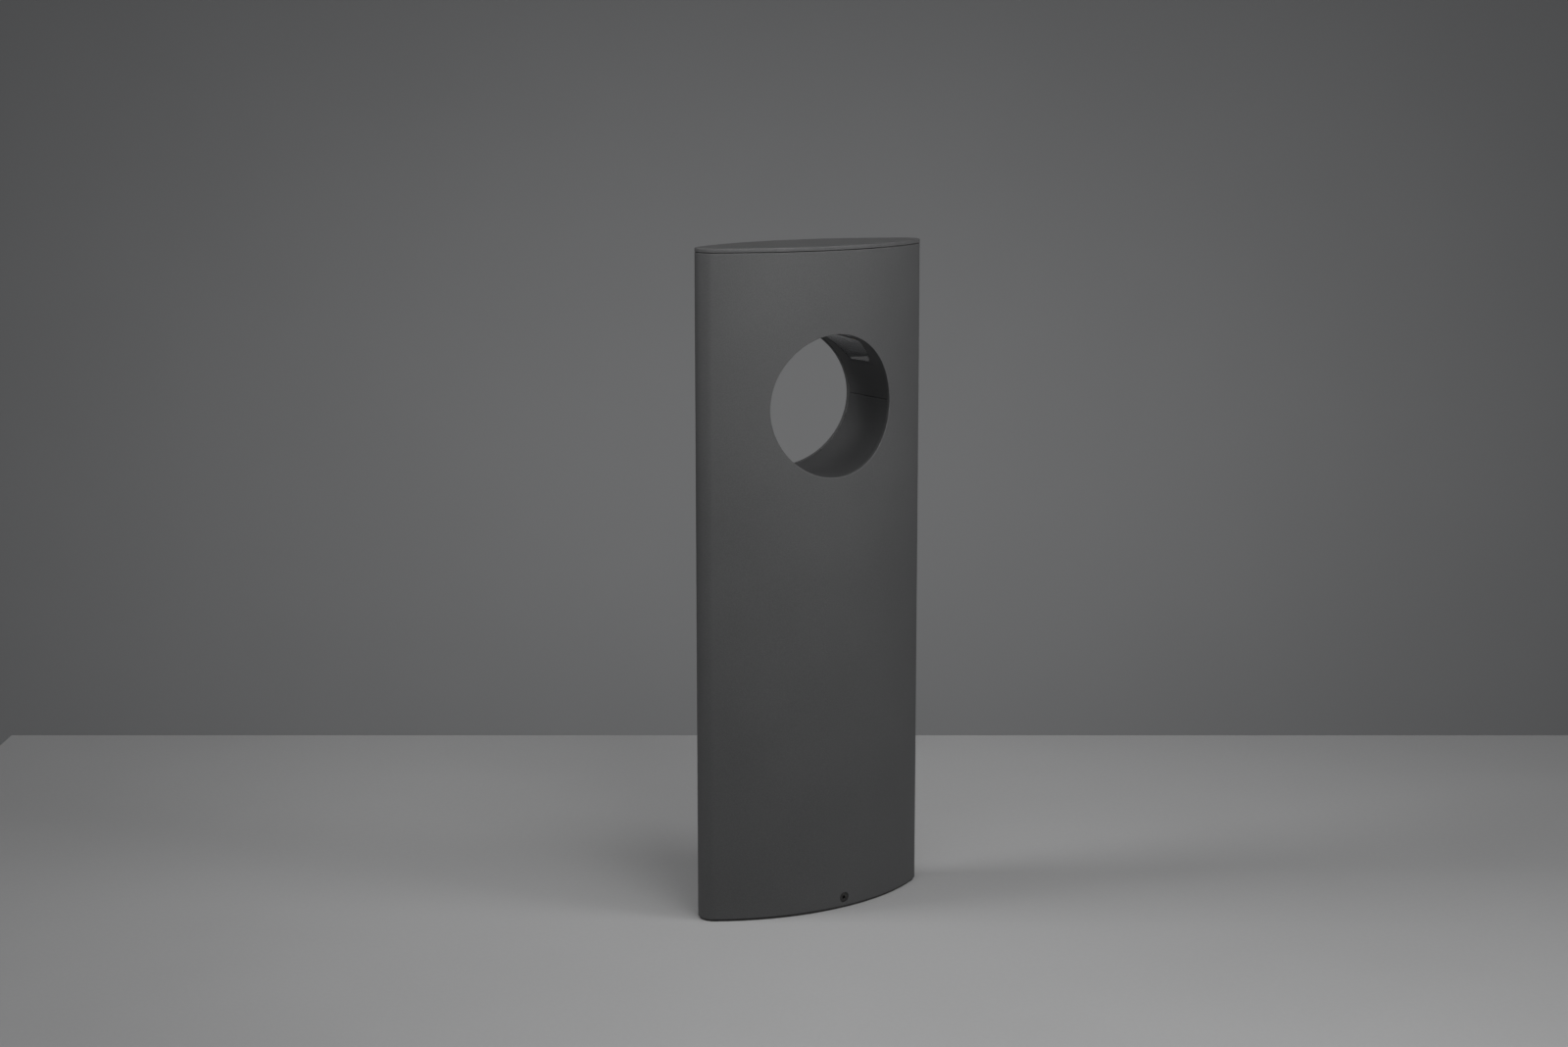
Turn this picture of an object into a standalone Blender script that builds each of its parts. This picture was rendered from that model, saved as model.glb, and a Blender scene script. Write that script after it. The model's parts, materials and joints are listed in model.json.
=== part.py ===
"""Oval path light: an extruded post with a round light opening near its top.

The post drops over a cast foot and is held by two countersunk screws. The head, which is the cap,
heat sink, light engine and upper half of the opening's liner, lifts out of the top of the post.
Origin at the middle of the footprint on the ground, +X along the width, -Y towards the front face.
"""
import math

import bmesh
import bpy
from mathutils import Matrix, Vector

# Driving dimensions, in metres.
WIDTH = 0.194
DEPTH = 0.073
HEIGHT = 0.500
NOSE_RADIUS = 0.0126
WALL = 0.003
GAP = 0.0003
OPENING_RADIUS = 0.0527
OPENING_Z = 0.383

# Foot.
GASKET_THICKNESS = 0.0015
GASKET_INSET = 0.0012
FOOT_PLATE = 0.0045
FOOT_RIM_TOP = 0.016
FOOT_RIM_WALL = 0.005
FIXING_X = 0.0081
FIXING_Z = 0.0083
FIXING_HEAD_RADIUS = 0.00375
FIXING_RECESS = 0.0005
ANCHOR_X = 0.058
ANCHOR_RADIUS = 0.0035
INLET_RADIUS = 0.009
CABLE_RADIUS = 0.005

# Cap.
CAP_THICKNESS = 0.003
CAP_SHADOW_GAP = 0.0005
CAP_RIM_DEPTH = 0.010
CAP_RIM_WALL = 0.0035
CAP_GROOVE_DEPTH = 0.0022

# Opening liner, split at the opening's middle height.
LINER_RADIUS = OPENING_RADIUS + GAP
LINER_WALL = 0.003
TAB_REACH = 0.072
TAB_THICKNESS = 0.004
LUG_REACH = 0.038
LUG_BACK_Y = 0.0097
LUG_FRONT_Y = -0.008
LUG_BOTTOM_Z = 0.312

# Light window: in plan, two shallow arcs between square ends with small rounded corners.
WINDOW_HALF_WIDTH = 0.0285
WINDOW_EDGE_RADIUS = 0.075
WINDOW_START = math.radians(29.5)
WINDOW_CORNER = 0.004
FLANGE_REACH = 0.0035
SEAL_THICKNESS = 0.0007
LENS_FLANGE = 0.002

# Light engine.
HOUSING_INNER = 0.068
HOUSING_WALL = 0.004
HOUSING_LEG_TOP = 0.402
HOUSING_TOP_Z = 0.485
HOUSING_TOP_PLATE = 0.003
FIN_THICKNESS = 0.002
FIN_PITCH = 0.012
FINS_EACH_SIDE = 5
BOARD_THICKNESS = 0.0014
BOARD_HALF_WIDTH = 0.008
BOARD_START = math.radians(16.0)
LED_SIZE = 0.0035
LED_THICKNESS = 0.0008
LED_COUNT = 8
LED_START = math.radians(34.0)
REFLECTOR_WALL = 0.002
CLIP_THICKNESS = 0.0008
CAP_BOSS_X = 0.054

# Equipment tray and what it carries.
TRAY_Y = (0.010, 0.012)
TRAY_HALF_WIDTH = 0.066
TRAY_Z = (0.040, 0.322)
DRIVER_HALF_WIDTH = 0.028
DRIVER_Z = (0.190, 0.300)
DRIVER_FRONT_Y = -0.016
DRIVER_EAR = 0.006
BLOCK_HALF_WIDTH = 0.022
BLOCK_Z = (0.120, 0.142)
BLOCK_FRONT_Y = -0.008
POLE_PITCH = 0.014
PLUG_X = -0.064
PLUG_SIDE = 0.005

SOCKET_Z = 0.3665

# Small fasteners, and where they sit.
SCREW_HEAD = (0.00275, 0.0022)
SCREW_HOLE = 0.0018
LUG_SCREW_X, LUG_SCREW_Z = 0.030, 0.317
CLAMP_SCREW_X, CLAMP_SCREW_Z = 0.0125, 0.081
CLIP_SCREW_Z = 0.397
EARTH_PLACE = (0.045, 0.165)

# Derived plan geometry: two shallow faces, tangent to two round noses.
NOSE_X = WIDTH / 2 - NOSE_RADIUS
FACE_RADIUS = (NOSE_X ** 2 + DEPTH ** 2 / 4 - NOSE_RADIUS ** 2) / (DEPTH - 2 * NOSE_RADIUS)
FACE_CENTRE_Y = FACE_RADIUS - DEPTH / 2
FACE_SWEEP = math.atan2(NOSE_X, FACE_CENTRE_Y)
FACE_STEPS = 18
NOSE_STEPS = 8
ROUND_STEPS = 48

# Derived heights and radii.
FOOT_Z = GASKET_THICKNESS + GAP
CAP_Z = HEIGHT - CAP_THICKNESS
SHELL_TOP_Z = CAP_Z - CAP_SHADOW_GAP
LINER_OUTER = LINER_RADIUS + LINER_WALL
LOWER_TAB_TOP = OPENING_Z - GAP / 2
UPPER_TAB_BOTTOM = OPENING_Z + GAP / 2
UPPER_TAB_TOP = UPPER_TAB_BOTTOM + TAB_THICKNESS
HOUSING_Z = UPPER_TAB_TOP + GAP
HOUSING_FOOT_TOP = HOUSING_Z + TAB_THICKNESS
HOUSING_OUTER = HOUSING_INNER + HOUSING_WALL
SEAL_RADIUS = LINER_OUTER + GAP
FLANGE_RADIUS = SEAL_RADIUS + SEAL_THICKNESS + GAP
BOARD_OUTER = HOUSING_INNER - GAP
BOARD_INNER = BOARD_OUTER - BOARD_THICKNESS
BEYOND = 0.05


def half_depth(x, inset=0.0):
    """Half the plan depth at x, measured `inset` inside the outer face."""
    return math.sqrt((FACE_RADIUS - inset) ** 2 - x * x) - FACE_CENTRE_Y


def oval_outline(inset=0.0):
    """Plan outline `inset` inside the outer face: face arc, nose arc, then both turned half round."""
    face = FACE_RADIUS - inset
    nose = NOSE_RADIUS - inset
    nose_sweep = math.pi / 2 - FACE_SWEEP
    half = []
    for step in range(FACE_STEPS):
        angle = FACE_SWEEP * (2 * step / FACE_STEPS - 1)
        half.append((face * math.sin(angle), FACE_CENTRE_Y - face * math.cos(angle)))
    for step in range(NOSE_STEPS):
        angle = nose_sweep * (2 * step / NOSE_STEPS - 1)
        half.append((NOSE_X + nose * math.cos(angle), nose * math.sin(angle)))
    return half + [(-x, -y) for x, y in half]


def window_outline(grow=0.0):
    """Plan outline of the light window: an arc on each long side, elliptical corners, square ends."""
    end_x = OPENING_RADIUS * math.cos(WINDOW_START) + grow
    corner_x = WINDOW_CORNER * math.sin(WINDOW_START)
    corner_y = WINDOW_CORNER
    straight_x = end_x - corner_x
    half = []
    for step in range(17):
        x = straight_x * (step / 8 - 1)
        sagitta = WINDOW_EDGE_RADIUS - math.sqrt(WINDOW_EDGE_RADIUS ** 2 - x * x)
        half.append((x, sagitta - WINDOW_HALF_WIDTH - grow))
    corner_centre_y = half[-1][1] + corner_y
    for step in range(1, 7):
        angle = math.pi / 2 * (step / 6 - 1)
        half.append((straight_x + corner_x * math.cos(angle), corner_centre_y + corner_y * math.sin(angle)))
    mirrored = [(x, -y) for x, y in reversed(half)]
    right = half[17:] + [(x, y) for x, y in mirrored[:6]]
    front = half[:17]
    back = mirrored[6:]
    left = [(-x, y) for x, y in reversed(right)]
    return front + right + back + left


class Kit:
    """The scene's collections, body empties and cutters."""

    def __init__(self, name):
        """Start an empty scene with a collection for the part and one for the cutters."""
        for obj in list(bpy.data.objects):
            bpy.data.objects.remove(obj, do_unlink=True)
        self.parts = self.collection(name)
        self.cutters = self.collection(name + "_cutters")
        self.materials = {}

    def collection(self, name):
        """A new collection, linked to the scene."""
        made = bpy.data.collections.new(name)
        bpy.context.scene.collection.children.link(made)
        return made

    def empty(self, name, location, parent=None):
        """An empty that stands for a moving body."""
        made = bpy.data.objects.new(name, None)
        made.empty_display_size = 0.02
        made.location = location
        self.parts.objects.link(made)
        if parent is not None:
            made.parent = parent
            made.location = Vector(location) - parent.location
        return made

    def material(self, name, colour, roughness, metallic=0.0):
        """Keep a Principled material under its name."""
        made = bpy.data.materials.new(name)
        made.use_nodes = True
        shader = made.node_tree.nodes["Principled BSDF"]
        shader.inputs["Base Color"].default_value = (*colour, 1.0)
        shader.inputs["Roughness"].default_value = roughness
        shader.inputs["Metallic"].default_value = metallic
        made.diffuse_color = (*colour, 1.0)
        self.materials[name] = made

    def finish(self, obj, body, material):
        """Parent a part to its body's empty and give it its material."""
        obj.data.materials.clear()
        obj.data.materials.append(self.materials[material])
        obj.parent = body
        obj.matrix_parent_inverse = Matrix.Translation(-body.matrix_world.translation)
        return obj

    def hide_cutter(self, obj):
        """Move an object to the cutters, where it shapes others and isn't a part."""
        for owner in list(obj.users_collection):
            owner.objects.unlink(obj)
        self.cutters.objects.link(obj)
        obj.hide_render = True
        obj.display_type = "WIRE"
        return obj

    def mesh_object(self, name, mesh, location=(0, 0, 0)):
        """A new object in the parts collection."""
        made = bpy.data.objects.new(name, mesh)
        made.location = location
        self.parts.objects.link(made)
        return made


def smooth(mesh, angle=35.0):
    """Shade a mesh smooth, except across edges sharper than `angle` degrees."""
    mesh.shade_smooth()
    mesh.set_sharp_from_angle(angle=math.radians(angle))


def box(kit, name, low, high, bevel=0.0):
    """An axis-aligned box, with rounded edges where `bevel` is given."""
    low, high = Vector(low), Vector(high)
    mesh = bpy.data.meshes.new(name)
    shape = bmesh.new()
    bmesh.ops.create_cube(shape, size=1.0)
    bmesh.ops.scale(shape, vec=high - low, verts=shape.verts)
    shape.to_mesh(mesh)
    shape.free()
    made = kit.mesh_object(name, mesh, (low + high) / 2)
    if bevel:
        rounding = made.modifiers.new("edges", "BEVEL")
        rounding.width = bevel
        rounding.segments = 2
        rounding.limit_method = "ANGLE"
    return made


def cylinder(kit, name, radius, start, end, steps=24, end_radius=None):
    """A cylinder, or a cone frustum, from `start` to `end`."""
    start, end = Vector(start), Vector(end)
    along = end - start
    mesh = bpy.data.meshes.new(name)
    shape = bmesh.new()
    bmesh.ops.create_cone(shape, cap_ends=True, segments=steps, radius1=radius,
                          radius2=radius if end_radius is None else end_radius, depth=along.length)
    shape.to_mesh(mesh)
    shape.free()
    smooth(mesh)
    made = kit.mesh_object(name, mesh, (start + end) / 2)
    made.rotation_mode = "QUATERNION"
    made.rotation_quaternion = Vector((0, 0, 1)).rotation_difference(along)
    return made


def prism(kit, name, loops, low_z, high_z):
    """A flat outline, whose later loops are holes, raised from low_z to high_z and made a mesh."""
    curve = bpy.data.curves.new(name, "CURVE")
    curve.dimensions = "2D"
    curve.fill_mode = "BOTH"
    curve.extrude = (high_z - low_z) / 2
    for loop in loops:
        spline = curve.splines.new("POLY")
        spline.points.add(len(loop) - 1)
        for point, (x, y) in zip(spline.points, loop):
            point.co = (x, y, 0.0, 1.0)
        spline.use_cyclic_u = True
    source = kit.mesh_object(name + "_outline", curve, (0, 0, (low_z + high_z) / 2))
    bpy.context.view_layer.update()
    seen = source.evaluated_get(bpy.context.evaluated_depsgraph_get())
    mesh = bpy.data.meshes.new_from_object(seen)
    shape = bmesh.new()
    shape.from_mesh(mesh)
    bmesh.ops.remove_doubles(shape, verts=shape.verts, dist=0.000005)
    shape.to_mesh(mesh)
    shape.free()
    smooth(mesh)
    made = kit.mesh_object(name, mesh)
    made.matrix_world = source.matrix_world.copy()
    bpy.data.objects.remove(source, do_unlink=True)
    return made


def turned(kit, name, profile, location, head_towards, steps=12):
    """A turned piece: the (radius, height) profile runs down its outer side and spins round its axis."""
    mesh = bpy.data.meshes.new(name)
    mesh.from_pydata([(r, 0.0, h) for r, h in profile], [(i, i + 1) for i in range(len(profile) - 1)], [])
    made = kit.mesh_object(name, mesh, location)
    made.rotation_mode = "QUATERNION"
    made.rotation_quaternion = Vector((0, 0, 1)).rotation_difference(Vector(head_towards))
    spin = made.modifiers.new("turn", "SCREW")
    spin.axis = "Z"
    spin.steps = steps
    spin.render_steps = steps
    spin.use_merge_vertices = True
    spin.merge_threshold = 0.00001
    spin.use_smooth_shade = True
    return made


def tube(kit, name, route, radius, samples=4):
    """A lead: a round tube on a smooth curve through its route's points."""
    ends = [2 * Vector(route[0]) - Vector(route[1])], [2 * Vector(route[-1]) - Vector(route[-2])]
    knots = ends[0] + [Vector(point) for point in route] + ends[1]
    path = []
    for index in range(1, len(knots) - 2):
        before, start, end, after = knots[index - 1:index + 3]
        for sample in range(samples):
            t = sample / samples
            path.append(start + 0.5 * t * (end - before + t * (2 * before - 5 * start + 4 * end - after
                                           + t * (3 * (start - end) + after - before))))
    path.append(knots[-2])
    curve = bpy.data.curves.new(name, "CURVE")
    curve.dimensions = "3D"
    curve.bevel_depth = radius
    curve.bevel_resolution = 1
    curve.use_fill_caps = True
    spline = curve.splines.new("POLY")
    spline.points.add(len(path) - 1)
    for point, place in zip(spline.points, path):
        point.co = (*place, 1.0)
    return kit.mesh_object(name, curve)


def change(kit, target, tool, operation):
    """Cut, join or intersect `target` with `tool`, which becomes a cutter."""
    step = target.modifiers.new(operation.lower() + "_" + tool.name, "BOOLEAN")
    step.operation = operation
    step.solver = "EXACT"
    step.object = tool
    kit.hide_cutter(tool)
    return target


def drill(kit, target, radius, start, end, steps=16):
    """Cut a round hole from `start` to `end`."""
    tool = cylinder(kit, target.name + "_hole_cut", radius, start, end, steps)
    return change(kit, target, tool, "DIFFERENCE")


def opening_cylinder(kit, name, radius, steps=ROUND_STEPS):
    """A cylinder on the opening's axis, longer than the post is deep."""
    reach = DEPTH / 2 + 0.01
    return cylinder(kit, name, radius, (0, -reach, OPENING_Z), (0, reach, OPENING_Z), steps)


def screw(kit, name, body, place, head_towards, length, head=SCREW_HEAD, shank=0.0015, steps=12):
    """A cheese-head screw with a hexagon socket. `place` is the middle of the head's top."""
    head_radius, head_height = head
    profile = [(0, 0), (head_radius, 0), (head_radius, -head_height), (shank, -head_height),
               (shank, -length), (0, -length)]
    made = turned(kit, name, profile, place, head_towards, steps)
    cut_socket(kit, made, place, head_towards, head_radius * 0.5, head_height * 0.6)
    return kit.finish(made, body, "zinc_steel")


def cut_socket(kit, target, place, head_towards, radius, depth):
    """Cut a hexagon socket into a screw's head."""
    out = Vector(head_towards).normalized()
    place = Vector(place)
    tool = cylinder(kit, target.name + "_socket_cut", radius, place - depth * out, place + depth * out, 6)
    return change(kit, target, tool, "DIFFERENCE")


def cut_screw_slot(kit, casting, side, half_width, start, floor_z):
    """Cut an open-topped slot through the foot's rim, from `start` behind the shell's inner face."""
    face = -side * (half_depth(FIXING_X) - WALL)
    near, far = sorted((face + side * start, face + side * 0.0125))
    x = side * FIXING_X
    low = (x - half_width, near, floor_z)
    high = (x + half_width, far, FOOT_RIM_TOP + 0.01)
    change(kit, casting, box(kit, "screw_slot_cut", low, high), "DIFFERENCE")


def make_foot(kit, body):
    """Gasket, cast foot with its rim inside the shell, and the cable grommet."""
    gasket = prism(kit, "foot_gasket", [oval_outline(GASKET_INSET)], 0.0, GASKET_THICKNESS)
    drill(kit, gasket, INLET_RADIUS * 1.3, (0, 0, -0.01), (0, 0, 0.01), 32)
    for side in (-1, 1):
        drill(kit, gasket, ANCHOR_RADIUS * 1.4, (side * ANCHOR_X, 0, -0.01), (side * ANCHOR_X, 0, 0.01), 24)
    kit.finish(gasket, body, "black_rubber")

    rim_inset = WALL + 0.0004
    casting = prism(kit, "foot_casting", [oval_outline(rim_inset)], FOOT_Z, FOOT_RIM_TOP)
    hollow = prism(kit, "foot_hollow_cut", [oval_outline(rim_inset + FOOT_RIM_WALL)],
                   FOOT_Z + FOOT_PLATE, FOOT_RIM_TOP + BEYOND)
    change(kit, casting, hollow, "DIFFERENCE")
    drill(kit, casting, INLET_RADIUS, (0, 0, -0.01), (0, 0, 0.02), 32)
    for side in (-1, 1):
        drill(kit, casting, ANCHOR_RADIUS, (side * ANCHOR_X, 0, -0.01), (side * ANCHOR_X, 0, 0.02), 24)
        cut_screw_slot(kit, casting, side, half_width=0.0025, start=-0.003, floor_z=FIXING_Z - 0.0025)
        cut_screw_slot(kit, casting, side, half_width=0.0045, start=0.0054, floor_z=0.0042)
    kit.finish(casting, body, "cast_aluminium")

    lip = INLET_RADIUS + 0.002
    neck = INLET_RADIUS - GAP
    top = FOOT_Z + FOOT_PLATE
    crown = top + 0.0045
    profile = [(CABLE_RADIUS, crown), (neck - 0.001, crown), (lip, top + 0.0022), (lip, top + GAP),
               (neck, top + GAP), (neck, FOOT_Z + GAP), (CABLE_RADIUS, FOOT_Z + GAP), (CABLE_RADIUS, crown)]
    grommet = turned(kit, "cable_grommet", profile, (0, 0, 0), (0, 0, 1), 24)
    kit.finish(grommet, body, "black_rubber")


def make_shell(kit, body):
    """The extruded post wall, its round opening, and the two countersunk fixing holes."""
    shell = prism(kit, "post_shell", [oval_outline(), oval_outline(WALL)], FOOT_Z, SHELL_TOP_Z)
    change(kit, shell, opening_cylinder(kit, "opening_cut", OPENING_RADIUS), "DIFFERENCE")
    for side in (-1, 1):
        face_y = -side * half_depth(FIXING_X)
        x = side * FIXING_X
        head = FIXING_HEAD_RADIUS + GAP
        outwards = (0, -side, 0)
        hole = 0.0023
        seat = -FIXING_RECESS - GAP
        profile = [(0, WALL), (head, WALL), (head, seat), (hole, seat - head + hole),
                   (hole, -2 * WALL), (0, -2 * WALL)]
        sink = turned(kit, "countersink_cut", profile, (x, face_y, FIXING_Z), outwards, 32)
        change(kit, shell, sink, "DIFFERENCE")
    kit.finish(shell, body, "graphite_coat")


def make_fixings(kit, body):
    """Countersunk fixing screws, front and back, with the nuts that draw the shell onto the foot."""
    for side, name in ((1, "front"), (-1, "back")):
        top_y = -side * (half_depth(FIXING_X) - FIXING_RECESS)
        place = (side * FIXING_X, top_y, FIXING_Z)
        outwards = (0, -side, 0)
        cone = FIXING_HEAD_RADIUS - 0.002
        profile = [(0, 0), (FIXING_HEAD_RADIUS, 0), (FIXING_HEAD_RADIUS, -0.0003), (0.002, -0.0003 - cone),
                   (0.002, -0.013), (0, -0.013)]
        made = turned(kit, "fixing_screw_" + name, profile, place, outwards, 32)
        cut_socket(kit, made, place, outwards, 0.00144, 0.0016)
        kit.finish(made, body, "black_steel")
        near = top_y + side * 0.0085
        far = near + side * 0.0032
        x = place[0]
        nut = cylinder(kit, "fixing_nut_" + name, 0.00404, (x, near, FIXING_Z), (x, far, FIXING_Z), 6)
        drill(kit, nut, 0.0023, (x, near - 0.01, FIXING_Z), (x, far + 0.01, FIXING_Z))
        kit.finish(nut, body, "zinc_steel")


def half_liner(kit, name, tab_low, tab_high, keep_low, keep_high, lug=False):
    """Half of the opening's liner: a half pipe with side tabs, trimmed to lie between the shell's walls."""
    liner = opening_cylinder(kit, name, LINER_OUTER)
    reach = DEPTH / 2 + 0.01
    half = box(kit, name + "_half_cut", (-WIDTH, -WIDTH, keep_low), (WIDTH, WIDTH, keep_high))
    change(kit, liner, half, "INTERSECT")
    tabs = box(kit, name + "_tab_add", (-TAB_REACH, -reach, tab_low), (TAB_REACH, reach, tab_high))
    change(kit, liner, tabs, "UNION")
    if lug:
        low = (-LUG_REACH, LUG_FRONT_Y, LUG_BOTTOM_Z)
        high = (LUG_REACH, LUG_BACK_Y, OPENING_Z - 0.030)
        change(kit, liner, box(kit, name + "_lug_add", low, high), "UNION")
    change(kit, liner, opening_cylinder(kit, name + "_bore_cut", LINER_RADIUS), "DIFFERENCE")
    between = prism(kit, name + "_trim_cut", [oval_outline(WALL + GAP)], 0.30, 0.47)
    return change(kit, liner, between, "INTERSECT")


def square_hole(kit, target, x, side, low_z, high_z):
    """Cut an upright square hole at x."""
    half = side / 2
    tool = box(kit, target.name + "_square_cut", (x - half, -half, low_z), (x + half, half, high_z))
    return change(kit, target, tool, "DIFFERENCE")


def make_lower_liner(kit, body):
    """Lower half of the liner, with the lug that carries the equipment tray."""
    tab_low = LOWER_TAB_TOP - TAB_THICKNESS
    liner = half_liner(kit, "lower_liner", tab_low, LOWER_TAB_TOP, 0.30, LOWER_TAB_TOP, lug=True)
    square_hole(kit, liner, PLUG_X, PLUG_SIDE + 0.001, OPENING_Z - 0.01, OPENING_Z + 0.01)
    for x in (-LUG_SCREW_X, LUG_SCREW_X):
        drill(kit, liner, SCREW_HOLE, (x, -0.001, LUG_SCREW_Z), (x, 0.02, LUG_SCREW_Z), 12)
    kit.finish(liner, body, "graphite_coat")


def make_tray(kit, body):
    """Equipment tray behind the driver, hung from the lower liner's lug."""
    low = (-TRAY_HALF_WIDTH, TRAY_Y[0], TRAY_Z[0])
    tray = box(kit, "equipment_tray", low, (TRAY_HALF_WIDTH, TRAY_Y[1], TRAY_Z[1]))
    holes = [(-LUG_SCREW_X, LUG_SCREW_Z), (LUG_SCREW_X, LUG_SCREW_Z), (0.0, DRIVER_Z[0] - DRIVER_EAR / 2),
             (0.0, DRIVER_Z[1] + DRIVER_EAR / 2), EARTH_PLACE, (-CLAMP_SCREW_X, CLAMP_SCREW_Z),
             (CLAMP_SCREW_X, CLAMP_SCREW_Z)]
    for x, z in holes:
        drill(kit, tray, SCREW_HOLE, (x, 0.0, z), (x, 0.02, z), 12)
    kit.finish(tray, body, "bare_aluminium")
    for x, side in ((-LUG_SCREW_X, "left"), (LUG_SCREW_X, "right")):
        place = (x, TRAY_Y[1] + GAP + SCREW_HEAD[1], LUG_SCREW_Z)
        screw(kit, "tray_screw_" + side, body, place, (0, 1, 0), 0.012)


def make_driver(kit, body):
    """Driver case with a screw ear at each end."""
    back = TRAY_Y[0] - GAP
    ear_front = back - 0.004
    front = (-DRIVER_HALF_WIDTH, DRIVER_FRONT_Y, DRIVER_Z[0])
    driver = box(kit, "led_driver", front, (DRIVER_HALF_WIDTH, back, DRIVER_Z[1]), bevel=0.0015)
    ear_low = (-0.012, ear_front, DRIVER_Z[0] - DRIVER_EAR)
    ears = box(kit, "driver_ears_add", ear_low, (0.012, back, DRIVER_Z[1] + DRIVER_EAR))
    change(kit, driver, ears, "UNION")
    for z, side in ((DRIVER_Z[0] - DRIVER_EAR / 2, "lower"), (DRIVER_Z[1] + DRIVER_EAR / 2, "upper")):
        drill(kit, driver, SCREW_HOLE, (0, 0, z), (0, 0.02, z), 12)
        place = (0, ear_front - GAP - 0.0018, z)
        screw(kit, "driver_screw_" + side, body, place, (0, -1, 0), 0.011, (0.0027, 0.0018))
    kit.finish(driver, body, "white_plastic")


def make_terminals(kit, body):
    """Three-pole terminal block, with a wire hole and two clamping screws at each pole."""
    low, high = BLOCK_Z
    corner = (-BLOCK_HALF_WIDTH, BLOCK_FRONT_Y, low)
    block = box(kit, "terminal_block", corner, (BLOCK_HALF_WIDTH, TRAY_Y[0] - GAP, high), bevel=0.0008)
    number = 1
    for pole in (-1, 0, 1):
        x = pole * POLE_PITCH
        drill(kit, block, 0.0022, (x, 0.001, low - 0.01), (x, 0.001, high + 0.01), 12)
        for z in (low + 0.006, high - 0.006):
            face = BLOCK_FRONT_Y
            drill(kit, block, 0.0024, (x, face - 0.01, z), (x, face + 0.005, z), 12)
            inner, outer = (x, face + 0.0045, z), (x, face + 0.001, z)
            made = cylinder(kit, "terminal_screw_%d" % number, 0.0021, inner, outer, 12)
            slot_low = (x - 0.005, face - 0.001, z - 0.0004)
            slot_high = (x + 0.005, face + 0.002, z + 0.0004)
            change(kit, made, box(kit, "terminal_slot_cut", slot_low, slot_high), "DIFFERENCE")
            kit.finish(made, body, "zinc_steel")
            number += 1
    kit.finish(block, body, "white_plastic")


def make_cable_clamp(kit, body):
    """Saddle that holds the supply cable against the tray."""
    front, z = 0.0015, CLAMP_SCREW_Z
    low = (-0.017, front, z - 0.005)
    clamp = box(kit, "cable_clamp", low, (0.017, TRAY_Y[0] - GAP, z + 0.005), bevel=0.0008)
    drill(kit, clamp, CABLE_RADIUS, (0, 0.0090, z - 0.01), (0, 0.0090, z + 0.01), 24)
    for x, side in ((-CLAMP_SCREW_X, "left"), (CLAMP_SCREW_X, "right")):
        drill(kit, clamp, SCREW_HOLE, (x, -0.01, z), (x, 0.02, z), 12)
        screw(kit, "clamp_screw_" + side, body, (x, front - GAP - SCREW_HEAD[1], z), (0, -1, 0), 0.014)
    kit.finish(clamp, body, "white_plastic")


def make_leads(kit, body):
    """Leads from the terminals to the driver and earth screw, and from the driver to the head's socket."""
    place = (EARTH_PLACE[0], TRAY_Y[0] - GAP - SCREW_HEAD[1], EARTH_PLACE[1])
    screw(kit, "earth_screw", body, place, (0, -1, 0), 0.010, (0.0035, SCREW_HEAD[1]))
    high = BLOCK_Z[1] + GAP
    bottom = DRIVER_Z[0] - GAP
    live = [(-POLE_PITCH, 0.001, high), (-POLE_PITCH, 0.0, 0.152), (-0.020, -0.004, 0.166),
            (-0.018, -0.006, 0.180), (-0.018, -0.006, bottom)]
    neutral = [(0, 0.001, high), (0, 0.0, 0.151), (0.004, -0.006, 0.164),
               (0.010, -0.008, 0.178), (0.010, -0.008, bottom)]
    earth = [(POLE_PITCH, 0.001, high), (POLE_PITCH, 0.001, 0.150), (0.022, 0.003, 0.158),
             (0.033, 0.0055, 0.163), (0.0408, 0.0065, 0.165)]
    for name, route, colour in (("live_lead", live, "brown_lead"), ("neutral_lead", neutral, "blue_lead"),
                                ("earth_lead", earth, "green_lead")):
        kit.finish(tube(kit, name, route, 0.0011), body, colour)
    output = [(-DRIVER_HALF_WIDTH - GAP, -0.005, 0.285), (-0.036, -0.005, 0.286), (-0.046, -0.004, 0.294),
              (-0.054, -0.003, 0.312), (-0.061, -0.001, 0.335), (PLUG_X, 0, 0.352),
              (PLUG_X, 0, SOCKET_Z - GAP)]
    kit.finish(tube(kit, "driver_output_lead", output, 0.0018), body, "black_plastic")


def make_socket(kit, body):
    """Socket under the lower liner's left tab, open at its top for the head's plug."""
    top = LOWER_TAB_TOP - TAB_THICKNESS - GAP
    side = 0.005
    low = (PLUG_X - side, -side, SOCKET_Z)
    socket = box(kit, "head_socket", low, (PLUG_X + side, side, top), bevel=0.0006)
    square_hole(kit, socket, PLUG_X, PLUG_SIDE + 2 * GAP, SOCKET_Z + 0.003, top + 0.01)
    kit.finish(socket, body, "black_plastic")


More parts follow.
